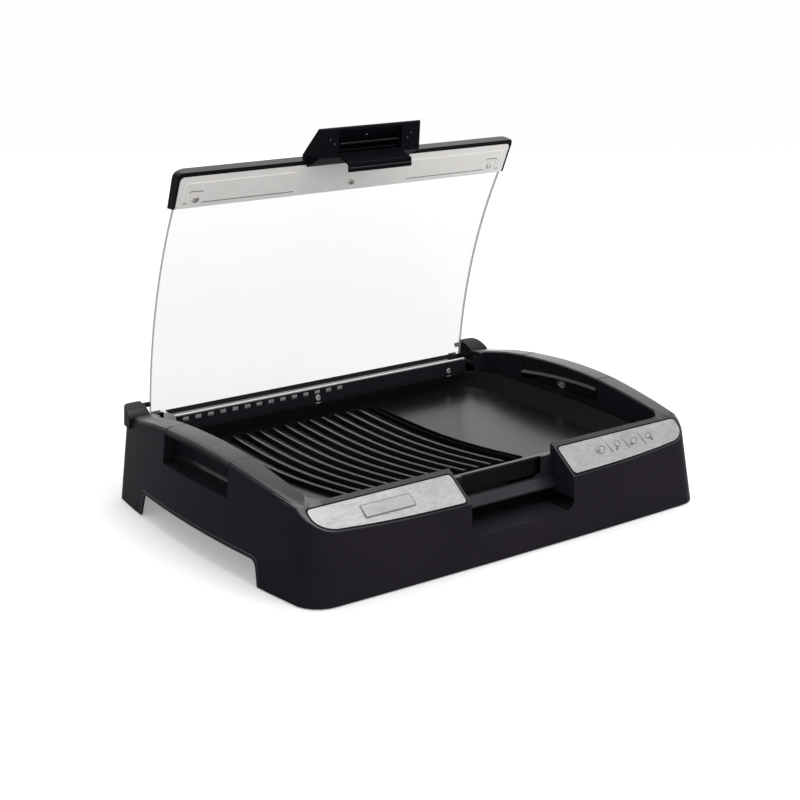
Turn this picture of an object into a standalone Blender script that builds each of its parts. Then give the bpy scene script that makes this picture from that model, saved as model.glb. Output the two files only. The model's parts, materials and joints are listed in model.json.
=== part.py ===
# Electric table grill with a ribbed pan and a hinged glass lid, standing open.
# Metres, +Z up. Origin on the ground under the middle, front towards -Y.
# The lid stands open at rest and closes by turning about HINGE_Y, HINGE_Z.
import math
import bmesh
import bpy
from mathutils import Matrix, Vector

# Fits
GAP = 0.0003
OVERRUN = 0.060
EMBED = 0.0014

# Base housing
BASE_HALF_WIDTH = 0.2690
BASE_HALF_DEPTH = 0.1990
BASE_SIDE_BOW = 0.0145
BASE_END_BOW = 0.0040
BASE_FRONT_BOW = 0.0075
BASE_FRONT_CORNER = 0.0300
BASE_REAR_CORNER = 0.0130
BASE_SIDE_DRAFT = 0.0105
BASE_END_DRAFT = 0.0040
BASE_LIFT = 0.0010
WALL = 0.0030
RIM_HEIGHT = 0.1135
BLOCK_SHARE = 0.8344
BLOCK_TOP = RIM_HEIGHT * BLOCK_SHARE
FRONT_EDGE_SHARE = 0.5903
FRONT_EDGE_HEIGHT = RIM_HEIGHT * FRONT_EDGE_SHARE
FRONT_EDGE_SETBACK = 0.0040
HORN_DECK_SHARE = 0.8370
HORN_DECK = RIM_HEIGHT * HORN_DECK_SHARE
SHOULDER_DROP = 0.0085
SHOULDER_INSET = 0.0075
CROWN_SHARE = 0.2

# Well that holds the pan
WELL_SIDE_MARGIN = 0.0385
WELL_FRONT_MARGIN = 0.0420
WELL_REAR_MARGIN = 0.0480
WELL_HALF_WIDTH = BASE_HALF_WIDTH - WELL_SIDE_MARGIN
WELL_FRONT = WELL_FRONT_MARGIN - BASE_HALF_DEPTH
WELL_REAR = BASE_HALF_DEPTH - WELL_REAR_MARGIN
WELL_SIDE_BOW = 0.0030
WELL_FRONT_CORNER = 0.0160
WELL_REAR_CORNER = 0.0120
WELL_EDGE_ROUND = 0.0015

# Seams and hand openings
SEAM_FRONT_MARGIN = 0.1037
SEAM_REAR_MARGIN = 0.0730
SEAM_FRONT = WELL_FRONT + SEAM_FRONT_MARGIN
SEAM_REAR = WELL_REAR - SEAM_REAR_MARGIN
HAND_FLOOR_SHARE = 0.6432
HAND_SILL_SHARE = 0.7401
HAND_FLOOR = RIM_HEIGHT * HAND_FLOOR_SHARE
HAND_SILL = RIM_HEIGHT * HAND_SILL_SHARE
GRIP_LIP = 0.0055
GRIP_SKIRT_FRONT = 0.0105
GRIP_SKIRT_REAR = 0.0180
GRIP_LEDGE = 0.0030

# Front recess
RECESS_HALF_WIDTH = 0.0672
RECESS_FLOOR_SHARE = 0.2819
RECESS_FLOOR = RIM_HEIGHT * RECESS_FLOOR_SHARE
RECESS_CORNER = 0.0120
RECESS_PLATE = 0.0030
RECESS_SILL_SHARE = 0.7269
RECESS_SILL = RIM_HEIGHT * RECESS_SILL_SHARE
NOTCH_HALF_WIDTH = 0.0470
NOTCH_FLOOR_SHARE = 0.5286
NOTCH_FLOOR = RIM_HEIGHT * NOTCH_FLOOR_SHARE
NOTCH_CORNER = 0.0100
BAR_HEIGHT = 0.0110
BAR_REACH = 0.0080
MOUTH_HALF_WIDTH = 0.0450
MOUTH_CORNER = 0.0040

# Side arches between the feet
ARCH_HEIGHT = 0.0262
ARCH_FRONT_MARGIN = 0.0935
ARCH_REAR_MARGIN = 0.0755
ARCH_FRONT = ARCH_FRONT_MARGIN - BASE_HALF_DEPTH
ARCH_REAR = BASE_HALF_DEPTH - ARCH_REAR_MARGIN
ARCH_FRONT_RUN = 0.0070
ARCH_REAR_RUN = 0.0060
ARCH_FRONT_CORNER = 0.0100
ARCH_REAR_CORNER = 0.0050

# Rear ledge, the lip with its windows, and horns
LEDGE_SHARE = 0.7577
LEDGE_TOP = RIM_HEIGHT * LEDGE_SHARE
LEDGE_MARGIN = 0.0080
LEDGE_HALF_WIDTH = WELL_HALF_WIDTH - LEDGE_MARGIN
LIP_SHARE = 0.8326
LIP_TOP = RIM_HEIGHT * LIP_SHARE
WINDOW_PITCH = 0.0157
WINDOW_WIDTH = 0.0090
WINDOW_SILL = 0.0020
WINDOW_HEIGHT = 0.0045
WINDOW_MARGIN = 0.0325
WINDOW_COUNT = 14
HORN_MARGIN = 0.0020
HORN_INNER = LEDGE_HALF_WIDTH + HORN_MARGIN
HORN_RISE = 0.0116
HORN_TOP = HORN_DECK + HORN_RISE
HORN_SKIRT = 0.0100
HORN_SEAM = HORN_DECK - HORN_SKIRT
HORN_DEPTH = 0.0300
HORN_FRONT = BASE_HALF_DEPTH - HORN_DEPTH
HORN_CREST = BASE_HALF_DEPTH - HORN_DEPTH / 4.0
STOP_RADIUS = 0.0028
STOP_REACH = 0.0095
STOP_DROP = 0.0046
STOP_HEIGHT = HORN_TOP - STOP_DROP

# Trim plates on the sloping blocks
PLATE_THICKNESS = 0.0012
PLATE_SINK = 0.0010
PLATE_BORDER = 0.0036
PLATE_END_MARGIN = 0.0290
PLATE_OUTER = BASE_HALF_WIDTH - PLATE_END_MARGIN
PLATE_CORNER = 0.0260
PLATE_CORNER_RISE = 0.0200
PLATE_SMALL_CORNER = 0.0040
PLATE_FRONT_MARGIN = 0.0030
PLATE_BACK_MARGIN = 0.0085

# Bottom cover and feet
COVER_SHARE = 0.2291
COVER_TOP = RIM_HEIGHT * COVER_SHARE
COVER_PLATE = 0.0025
COVER_CLEARANCE = 0.0020
FOOT_RADIUS = 0.0090
FOOT_HEIGHT = 0.0060
FOOT_CUP_WALL = 0.0025
FOOT_SIDE_MARGIN = 0.0540
FOOT_END_MARGIN = 0.0440
FOOT_X = BASE_HALF_WIDTH - FOOT_SIDE_MARGIN
FOOT_Y = BASE_HALF_DEPTH - FOOT_END_MARGIN
VENT_LENGTH = 0.0400
VENT_WIDTH = 0.0040
VENT_PITCH = 0.0120
POST_RADIUS = 0.0060

# Pan
PAN_SIDE_PLAY = 0.0035
PAN_FRONT_PLAY = 0.0060
PAN_REAR_PLAY = 0.0055
PAN_HALF_WIDTH = WELL_HALF_WIDTH - PAN_SIDE_PLAY
PAN_FRONT = WELL_FRONT + PAN_FRONT_PLAY
PAN_REAR = WELL_REAR - PAN_REAR_PLAY
PAN_SIDE_BOW = 0.0116
PAN_BOW_CENTRE = 0.0260
PAN_FRONT_CORNER = 0.0300
PAN_REAR_CORNER = 0.0300
PAN_RIM_SHARE = 0.7048
PAN_DEPTH = 0.0140
PAN_RIM = RIM_HEIGHT * PAN_RIM_SHARE
PAN_LIP = 0.0035
PAN_LIP_DEPTH = 0.0040
PAN_FLOOR = PAN_RIM - PAN_DEPTH
PAN_PLATE = 0.0040
PAN_SIDE_FLARE = 0.0290
PAN_FRONT_FLARE = 0.0260
PAN_REAR_FLARE = 0.0060
RIB_PITCH = 0.0168
RIB_WIDTH = 0.0080
RIB_HEIGHT = 0.0050
RIB_REAR_MARGIN = 0.0265
RIB_FRONT_MARGIN = 0.0310
RIB_REAR = PAN_REAR - RIB_REAR_MARGIN
RIB_FRONT = PAN_FRONT + RIB_FRONT_MARGIN
RIB_BEND_Y = 0.0110
RIB_REAR_SWEEP = 0.0063
RIB_FRONT_SWEEP = 0.0224
RIB_BORDER_X = 0.0354
RIB_BORDER_WIDTH = 0.0040

# Tray and heating element under the pan
TRAY_SIDE_MARGIN = 0.0370
TRAY_FRONT_MARGIN = 0.0330
TRAY_REAR_MARGIN = 0.0155
TRAY_HALF_WIDTH = PAN_HALF_WIDTH - TRAY_SIDE_MARGIN
TRAY_FRONT = PAN_FRONT + TRAY_FRONT_MARGIN
TRAY_REAR = PAN_REAR - TRAY_REAR_MARGIN
TRAY_CORNER = 0.0250
TRAY_DROP = 0.0240
TRAY_FLOOR = PAN_FLOOR - TRAY_DROP
TRAY_SHEET = 0.0012
TRAY_FLANGE = 0.0080
ELEMENT_RADIUS = 0.0033
ELEMENT_RISE = 0.0110
ELEMENT_HEIGHT = TRAY_FLOOR + ELEMENT_RISE
ELEMENT_SIDE_MARGIN = 0.0400
ELEMENT_END_MARGIN = 0.0340
ELEMENT_HALF_WIDTH = TRAY_HALF_WIDTH - ELEMENT_SIDE_MARGIN
ELEMENT_FRONT = TRAY_FRONT + ELEMENT_END_MARGIN
ELEMENT_REAR = TRAY_REAR - ELEMENT_END_MARGIN
ELEMENT_TERMINAL = 0.0150
CLIP_WIDTH = 0.0100
CLIP_WALL = 0.0020

# Power socket in the rear wall
SOCKET_X = 0.0900
SOCKET_Z = 0.0560
SOCKET_HALF_WIDTH = 0.0210
SOCKET_HALF_HEIGHT = 0.0110
SOCKET_CORNER = 0.0050
SOCKET_DEPTH = 0.0220
SOCKET_WALL = 0.0025
SOCKET_FLANGE = 0.0030
SOCKET_PIN_RADIUS = 0.0022
SOCKET_PIN_LENGTH = 0.0150
SOCKET_PIN_SPACING = 0.0100

# Hinge
HINGE_SETBACK = 0.0092
HINGE_MARGIN = 0.0140
HINGE_Y = WELL_REAR + HINGE_SETBACK
HINGE_DROP = 0.0209
HINGE_Z = LEDGE_TOP - HINGE_DROP
HINGE_X = LEDGE_HALF_WIDTH - HINGE_MARGIN
PIN_RADIUS = 0.0030
ARM_THICKNESS = 0.0060
ARM_EYE = 0.0070
ARM_NECK = 0.0050
BRACKET_CHEEK = 0.0025
BRACKET_PLAY = 0.0010
BRACKET_MARGIN = 0.0035
CLAMP_WIDTH = 0.0110
CLAMP_HEIGHT = 0.0090
CLAMP_JAW = 0.0025
SLOT_PLAY = 0.0015

# Lid glass
GLASS_SIDE_MARGIN = 0.0075
GLASS_HALF_WIDTH = HORN_INNER - GLASS_SIDE_MARGIN
GLASS_THICKNESS = 0.0040
GLASS_SETBACK = 0.0242
GLASS_FOOT_Y = HINGE_Y + GLASS_SETBACK
GLASS_FOOT_RISE = 0.0035
GLASS_FOOT_Z = LEDGE_TOP + GLASS_FOOT_RISE
GLASS_RADIUS = 0.6000
GLASS_LENGTH = 0.2588
GLASS_FOOT_LEAN = 4.5
GLASS_CORNER = 0.0060
GLASS_FOOT_TURN = math.radians(GLASS_FOOT_LEAN)
GLASS_TOP_TURN = GLASS_FOOT_TURN + GLASS_LENGTH / GLASS_RADIUS
GLASS_TOP_Y = GLASS_FOOT_Y - GLASS_RADIUS * (math.cos(GLASS_FOOT_TURN) - math.cos(GLASS_TOP_TURN))
GLASS_TOP_Z = GLASS_FOOT_Z + GLASS_RADIUS * (math.sin(GLASS_TOP_TURN) - math.sin(GLASS_FOOT_TURN))

# Lid frame and steel strip
FRAME_SIDE_MARGIN = 0.0028
FRAME_LEAD = 0.0012
FRAME_SEAT = 0.0055
FRAME_HEIGHT = 0.0393
FRAME_HALF_WIDTH = GLASS_HALF_WIDTH + FRAME_SIDE_MARGIN
FRAME_FACE_Y = GLASS_TOP_Y - FRAME_LEAD
FRAME_BOTTOM = GLASS_TOP_Z - FRAME_SEAT
FRAME_TOP = FRAME_BOTTOM + FRAME_HEIGHT
FRAME_DEPTH = 0.0118
FRAME_RISE = 0.0035
FRAME_LEAN = 0.0177
FRAME_WALL = 0.0025
FRAME_LIP = 0.0045
FRAME_CORNER = 0.0100
STRIP_SHEET = 0.0008
STRIP_MARGIN = 0.0030
STRIP_HALF_WIDTH = FRAME_HALF_WIDTH - STRIP_MARGIN
STRIP_CORNER = 0.0050

# Handle
HANDLE_HALF_WIDTH = 0.0655
HANDLE_TIP_REACH = 0.0430
HANDLE_TIP_RISE = 0.0378
HANDLE_FACE_REACH = 0.0405
HANDLE_FACE_RISE = 0.0045
HANDLE_HEEL_REACH = 0.0095
HANDLE_HEEL_RISE = 0.0095
HANDLE_FOOT_DROP = 0.0068
HANDLE_TIP_Y = FRAME_FACE_Y - HANDLE_TIP_REACH
HANDLE_TIP_Z = FRAME_TOP + HANDLE_TIP_RISE
HANDLE_FACE_Y = FRAME_FACE_Y - HANDLE_FACE_REACH
HANDLE_FACE_Z = FRAME_TOP + HANDLE_FACE_RISE
HANDLE_HEEL_Y = FRAME_FACE_Y - HANDLE_HEEL_REACH
HANDLE_HEEL_Z = FRAME_TOP + HANDLE_HEEL_RISE
HANDLE_WALL = 0.0030
POCKET_HALF_WIDTH = 0.0410
POCKET_MARGIN = 0.0030
LATCH_HALF_WIDTH = 0.0360
LATCH_HEIGHT = 0.0100
LATCH_BAR = 0.0026
LATCH_RISE = 0.0110
LATCH_Z = FRAME_TOP + LATCH_RISE
HANDLE_TRAY_HALF_WIDTH = 0.0410
HANDLE_TRAY_REACH = 0.0190
HANDLE_TRAY_FALL = 0.0070
HANDLE_TRAY_LIP = 0.0095
HANDLE_TRAY_WALL = 0.0022

# Screws
SCREW_RADIUS = 0.0035
SCREW_HEAD = 0.0016
STRIP_SCREW_MARGIN = 0.0219
STRIP_SCREW_RISE = 0.0092
STRIP_SCREW_X = STRIP_HALF_WIDTH - STRIP_SCREW_MARGIN
STRIP_SCREW_Z = FRAME_BOTTOM + STRIP_SCREW_RISE
HANDLE_SCREW_X = 0.0477
HANDLE_SCREW_RISE = 0.0185
HANDLE_SCREW_Z = FRAME_TOP + HANDLE_SCREW_RISE
LEDGE_SCREW_LEFT_X = -0.0180
LEDGE_SCREW_MARGIN = 0.0485
LEDGE_SCREW_RIGHT_X = LEDGE_HALF_WIDTH - LEDGE_SCREW_MARGIN
LEDGE_SCREW_DROP = 0.0025
LEDGE_SCREW_Z = LEDGE_TOP - LEDGE_SCREW_DROP

# Rise of the rim from front to rear, as shares of the depth and of the height
RIM_SHARES = ((-0.789, 0.834), (-0.603, 0.893), (-0.268, 0.974), (0.06, 1.0), (0.392, 0.979),
              (0.578, 0.943), (0.70, 0.902), (0.849, 0.850), (1.0, 0.837))

BLACK = (0.018, 0.018, 0.021)
DARK = (0.012, 0.012, 0.013)


def clear_scene():
    for old in list(bpy.data.objects):
        bpy.data.objects.remove(old, do_unlink=True)


def material(name, colour, roughness, metallic=0.0, alpha=1.0):
    mat = bpy.data.materials.get(name) or bpy.data.materials.new(name)
    mat.use_nodes = True
    shader = mat.node_tree.nodes["Principled BSDF"]
    shader.inputs["Base Color"].default_value = (*colour, 1.0)
    shader.inputs["Roughness"].default_value = roughness
    shader.inputs["Metallic"].default_value = metallic
    shader.inputs["Alpha"].default_value = alpha
    mat.diffuse_color = (*colour, alpha)
    return mat


def add_object(name, bm, mat=None):
    bmesh.ops.recalc_face_normals(bm, faces=bm.faces)
    mesh = bpy.data.meshes.new(name)
    bm.to_mesh(mesh)
    bm.free()
    obj = bpy.data.objects.new(name, mesh)
    bpy.context.scene.collection.objects.link(obj)
    if mat:
        mesh.materials.append(mat)
    return obj


def smooth(obj, degrees=32.0):
    obj.data.shade_smooth()
    obj.data.set_sharp_from_angle(angle=math.radians(degrees))
    return obj


def boolean(target, tool, operation="DIFFERENCE"):
    tool.hide_render = True
    tool.display_type = "WIRE"
    mod = target.modifiers.new(operation.title(), "BOOLEAN")
    mod.operation = operation
    mod.solver = "EXACT"
    mod.object = tool
    return target


# Closed rings of equal length skinned into a tube, capped or closed on itself
def loft(name, rings, mat=None, closed=False, across=False):
    bm = bmesh.new()
    loops = [[bm.verts.new(p) for p in ring] for ring in rings]
    pairs = list(zip(loops, loops[1:]))
    if closed:
        pairs.append((loops[-1], loops[0]))
    for low, high in pairs:
        for i in range(len(low)):
            j = (i + 1) % len(low)
            bm.faces.new((low[i], low[j], high[j], high[i]))
    for loop in () if closed else (loops[0], loops[-1]):
        if across:
            cap_across(bm, loop)
        else:
            bm.faces.new(loop)
    return add_object(name, bm, mat)


# Cap of a mirror-symmetric ring by strips from its right half to its left half
def cap_across(bm, loop):
    count = len(loop)
    for i in range(count // 2):
        corners = []
        for k in (i, i + 1, count - i - 1, (count - i) % count):
            if loop[k] not in corners:
                corners.append(loop[k])
        bm.faces.new(corners)


# A flat outline extruded along an axis: X takes (y, z), Y takes (x, z), Z takes (x, y)
def prism(name, outline, axis, low, high, mat=None):
    place = {"X": lambda a, b: (low, a, b), "Y": lambda a, b: (a, low, b),
             "Z": lambda a, b: (a, b, low)}[axis]
    bm = bmesh.new()
    face = bm.faces.new([bm.verts.new(place(a, b)) for a, b in outline])
    made = bmesh.ops.extrude_face_region(bm, geom=[face])
    moved = [v for v in made["geom"] if isinstance(v, bmesh.types.BMVert)]
    shift = Vector([high - low if axis == letter else 0.0 for letter in "XYZ"])
    bmesh.ops.translate(bm, verts=moved, vec=shift)
    return add_object(name, bm, mat)


def box(name, low, high, mat=None):
    outline = [(low[0], low[1]), (high[0], low[1]), (high[0], high[1]), (low[0], high[1])]
    return prism(name, outline, "Z", low[2], high[2], mat)


def circle(centre, radius, steps):
    turn = 2.0 * math.pi / steps
    return [(centre[0] + radius * math.cos(turn * (i + 0.5)),
             centre[1] + radius * math.sin(turn * (i + 0.5))) for i in range(steps)]


# Corners of an outline turned into arcs, one radius for each corner
def rounded(corners, radii, steps=4):
    points = []
    count = len(corners)
    for i, corner in enumerate(corners):
        here = Vector(corner)
        radius = radii[i] if isinstance(radii, (list, tuple)) else radii
        if radius <= 0.0:
            points.append(tuple(here))
            continue
        back = (Vector(corners[i - 1]) - here).normalized()
        ahead = (Vector(corners[(i + 1) % count]) - here).normalized()
        half = back.angle(ahead) / 2.0
        centre = here + (back + ahead).normalized() * (radius / math.sin(half))
        start = here + back * (radius / math.tan(half)) - centre
        sweep = math.pi - 2.0 * half
        side = 1.0 if back.x * ahead.y - back.y * ahead.x < 0.0 else -1.0
        for k in range(steps + 1):
            turn = Matrix.Rotation(side * sweep * k / steps, 2)
            points.append(tuple(centre + turn @ start))
    return points


def mirrored(obj, name):
    bm = bmesh.new()
    bm.from_mesh(obj.data)
    bmesh.ops.scale(bm, vec=(-1.0, 1.0, 1.0), verts=bm.verts)
    bmesh.ops.reverse_faces(bm, faces=bm.faces)
    return add_object(name, bm, obj.data.materials[0] if obj.data.materials else None)


def blend(a, b, t):
    return a + (b - a) * t


def ease(low, high, value):
    t = min(1.0, max(0.0, (value - low) / (high - low)))
    return t * t * (3.0 - 2.0 * t)


# Outline of a bowed, round-cornered shape, the same number of points for every size
def outline(half_width, front, rear, side_bow, end_bow, front_corner, rear_corner, inset=0.0,
            bow_centre=0.0, bow_reach=BASE_HALF_DEPTH, front_bow=0.0):
    half = half_width - inset
    near = front + inset
    far = rear - inset
    r_near = max(front_corner - inset, WALL / 2.0)
    r_far = max(rear_corner - inset, WALL / 2.0)

    def side(y):
        return half - side_bow * ((y - bow_centre) / bow_reach) ** 2

    def end(x, y):
        share = x / half
        return y + math.copysign(end_bow * share ** 2, -y) + (front_bow * share ** 4 if y < 0.0 else 0.0)

    x_near = side(near + r_near) - r_near
    x_far = side(far - r_far) - r_far
    points = [(x_near * k / 6.0, end(x_near * k / 6.0, near)) for k in range(6)]
    y_near = end(x_near, near) + r_near
    y_far = end(x_far, far) - r_far
    for k in range(7):
        turn = math.radians(-90.0 + 15.0 * k)
        points.append((x_near + r_near * math.cos(turn), y_near + r_near * math.sin(turn)))
    for k in range(1, 10):
        y = blend(y_near, y_far, k / 10.0)
        points.append((side(y), y))
    for k in range(5):
        turn = math.radians(22.5 * k)
        points.append((x_far + r_far * math.cos(turn), y_far + r_far * math.sin(turn)))
    points.append((x_far / 2.0, end(x_far / 2.0, far)))
    points.append((0.0, end(0.0, far)))
    return points + [(-x, y) for x, y in reversed(points[1:-1])]


def base_outline(height, inset=0.0):
    up = height / RIM_HEIGHT
    return outline(BASE_HALF_WIDTH - BASE_SIDE_DRAFT * up, -BASE_HALF_DEPTH + BASE_END_DRAFT * up,
                   BASE_HALF_DEPTH - BASE_END_DRAFT * up / 2.0, BASE_SIDE_BOW, BASE_END_BOW,
                   BASE_FRONT_CORNER, BASE_REAR_CORNER, inset, front_bow=BASE_FRONT_BOW * up)


def well_outline(inset=0.0):
    return outline(WELL_HALF_WIDTH, WELL_FRONT, WELL_REAR, WELL_SIDE_BOW, 0.0,
                   WELL_FRONT_CORNER, WELL_REAR_CORNER, inset)


# Height of the top of the housing above the ground at a distance from the front
def top_height(y):
    edge_y = -BASE_HALF_DEPTH + FRONT_EDGE_SETBACK
    if y < WELL_FRONT:
        return blend(FRONT_EDGE_HEIGHT, BLOCK_TOP, (y - edge_y) / (WELL_FRONT - edge_y))
    share = y / BASE_HALF_DEPTH
    stops = [(a, b) for a, b in RIM_SHARES]
    stops[0] = (WELL_FRONT / BASE_HALF_DEPTH, BLOCK_TOP / RIM_HEIGHT)
    for k in range(len(stops) - 1):
        if share <= stops[k + 1][0] or k == len(stops) - 2:
            return RIM_HEIGHT * hermite(stops, k, share)
    return RIM_HEIGHT


def hermite(stops, k, share):
    def slope(i):
        low, high = stops[max(i - 1, 0)], stops[min(i + 1, len(stops) - 1)]
        return (high[1] - low[1]) / (high[0] - low[0])

    (x0, y0), (x1, y1) = stops[k], stops[k + 1]
    span = x1 - x0
    t = (share - x0) / span
    ease_in = 2.0 * t ** 3 - 3.0 * t ** 2 + 1.0
    pull_in = (t ** 3 - 2.0 * t ** 2 + t) * span * slope(k)
    pull_out = (t ** 3 - t ** 2) * span * slope(k + 1)
    return ease_in * y0 + pull_in + (1.0 - ease_in) * y1 + pull_out


# The outer edge is crisp on the sloping front and round along the sides
def crown(y):
    return blend(CROWN_SHARE, 1.0, ease(WELL_FRONT, WELL_FRONT + BASE_FRONT_CORNER + WELL_FRONT_CORNER, y))


def ring(points, height):
    return [(x, y, height(y)) for x, y in points]


# Hollow moulding: outer wall, rounded shoulder, top, well wall, open underneath
def make_base_shell(mat):
    top = top_height
    drop = SHOULDER_DROP
    rings = [
        ring(base_outline(0.0), lambda y: BASE_LIFT),
        ring(base_outline(RIM_HEIGHT), lambda y: top(y) - drop * crown(y)),
        ring(base_outline(RIM_HEIGHT, SHOULDER_INSET / 8.0), lambda y: top(y) - drop * crown(y) / 2.0),
        ring(base_outline(RIM_HEIGHT, SHOULDER_INSET / 2.5), lambda y: top(y) - drop * crown(y) / 6.0),
        ring(base_outline(RIM_HEIGHT, SHOULDER_INSET), top),
        ring(well_outline(-WELL_EDGE_ROUND), top),
        ring(well_outline(), lambda y: top(y) - WELL_EDGE_ROUND),
        ring(well_outline(), lambda y: COVER_TOP + GAP),
        ring(well_outline(-WALL), lambda y: COVER_TOP + GAP),
        ring(well_outline(-WALL), lambda y: top(y) - 1.3 * WALL),
        ring(base_outline(RIM_HEIGHT, SHOULDER_INSET), lambda y: top(y) - 1.3 * WALL),
        ring(base_outline(RIM_HEIGHT, WALL), lambda y: top(y) - 1.3 * WALL - drop * crown(y) / 2.0),
        ring(base_outline(0.0, WALL), lambda y: BASE_LIFT),
    ]
    return loft("base_housing", rings, mat, closed=True)


# Solid with the housing's outer faces, used to trim what fills it
def make_outer_form(name, inset, lower):
    rings = [ring(base_outline(0.0, inset), lambda y: -OVERRUN),
             ring(base_outline(RIM_HEIGHT, inset), lambda y: top_height(y) - lower)]
    return loft(name, rings, across=True)


def add_recess(base):
    wide = RECESS_HALF_WIDTH
    block = box("recess_block", (-wide - WALL, -BASE_HALF_DEPTH, RECESS_FLOOR - RECESS_PLATE),
                (wide + WALL, WELL_FRONT - EMBED, RIM_HEIGHT))
    boolean(block, make_outer_form("recess_form", EMBED, EMBED), "INTERSECT")
    boolean(base, block, "UNION")
    back = WELL_FRONT - WALL
    corners = [(-wide, RIM_HEIGHT + OVERRUN), (-wide, RECESS_FLOOR), (wide, RECESS_FLOOR),
               (wide, RIM_HEIGHT + OVERRUN)]
    cavity = prism("recess_cut", rounded(corners, [0.0, RECESS_CORNER, RECESS_CORNER, 0.0], 5), "Y",
                   -BASE_HALF_DEPTH - OVERRUN, back)
    boolean(base, cavity)
    boolean(base, box("recess_sill_cut", (-wide, back - WALL, RECESS_SILL),
                      (wide, WELL_FRONT + WALL, RIM_HEIGHT + OVERRUN)))
    bar_low = NOTCH_FLOOR - BAR_HEIGHT
    profile = [(WELL_FRONT - EMBED, bar_low), (WELL_FRONT - EMBED, NOTCH_FLOOR),
               (back - EMBED, NOTCH_FLOOR), (back - BAR_REACH, bar_low + WALL / 2.0),
               (back - BAR_REACH, bar_low)]
    boolean(base, prism("recess_bar", profile, "X", -wide - EMBED, wide + EMBED), "UNION")
    notch = NOTCH_HALF_WIDTH
    corners = [(-notch, RIM_HEIGHT), (-notch, NOTCH_FLOOR), (notch, NOTCH_FLOOR), (notch, RIM_HEIGHT)]
    boolean(base, prism("notch_cut", rounded(corners, [0.0, NOTCH_CORNER, NOTCH_CORNER, 0.0], 4),
                        "Y", back - WALL, WELL_FRONT + WALL))
    mouth = MOUTH_HALF_WIDTH
    corners = [(-mouth, bar_low), (-mouth, RECESS_FLOOR + EMBED), (mouth, RECESS_FLOOR + EMBED),
               (mouth, bar_low)]
    boolean(base, prism("mouth_cut", rounded(corners, [0.0, MOUTH_CORNER, MOUTH_CORNER, 0.0], 3),
                        "Y", back - WALL, WELL_FRONT + WALL))


def add_hand_opening(base, side):
    inner = WELL_HALF_WIDTH + EMBED
    outer = BASE_HALF_WIDTH + OVERRUN
    fill = box("hand_fill" + side, (inner, SEAM_FRONT - WALL, HAND_FLOOR - WALL),
               (outer, SEAM_REAR + WALL, RIM_HEIGHT))
    boolean(fill, make_outer_form("hand_form" + side, EMBED, SHOULDER_DROP + EMBED), "INTERSECT")
    low = (WELL_HALF_WIDTH - SHOULDER_INSET, SEAM_FRONT, HAND_SILL)
    sill = box("hand_sill_cut" + side, low, (outer, SEAM_REAR, RIM_HEIGHT + OVERRUN))
    pocket = box("hand_pocket_cut" + side, (WELL_HALF_WIDTH + WALL, SEAM_FRONT, HAND_FLOOR),
                 (outer, SEAM_REAR, RIM_HEIGHT + OVERRUN))
    for tool, operation in ((fill, "UNION"), (sill, "DIFFERENCE"), (pocket, "DIFFERENCE")):
        if side == "_left":
            turned = mirrored(tool, tool.name + "_turned")
            for mod in tool.modifiers:
                form = mod.object
                boolean(turned, form, mod.operation)
            bpy.data.objects.remove(tool, do_unlink=True)
            tool = turned
        boolean(base, tool, operation)


def add_arches(base):
    corners = [(ARCH_FRONT - ARCH_FRONT_RUN, -OVERRUN / 2.0), (ARCH_FRONT - ARCH_FRONT_RUN, 0.0),
               (ARCH_FRONT, ARCH_HEIGHT), (ARCH_REAR, ARCH_HEIGHT), (ARCH_REAR + ARCH_REAR_RUN, 0.0),
               (ARCH_REAR + ARCH_REAR_RUN, -OVERRUN / 2.0)]
    profile = rounded(corners, [0.0, 0.0, ARCH_FRONT_CORNER, ARCH_REAR_CORNER, 0.0, 0.0], 6)
    reach = BASE_HALF_WIDTH - BASE_SIDE_DRAFT - BASE_SIDE_BOW - WALL
    boolean(base, prism("arch_cut_right", profile, "X", reach, BASE_HALF_WIDTH + OVERRUN))
    boolean(base, prism("arch_cut_left", profile, "X", -BASE_HALF_WIDTH - OVERRUN, -reach))


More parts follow.
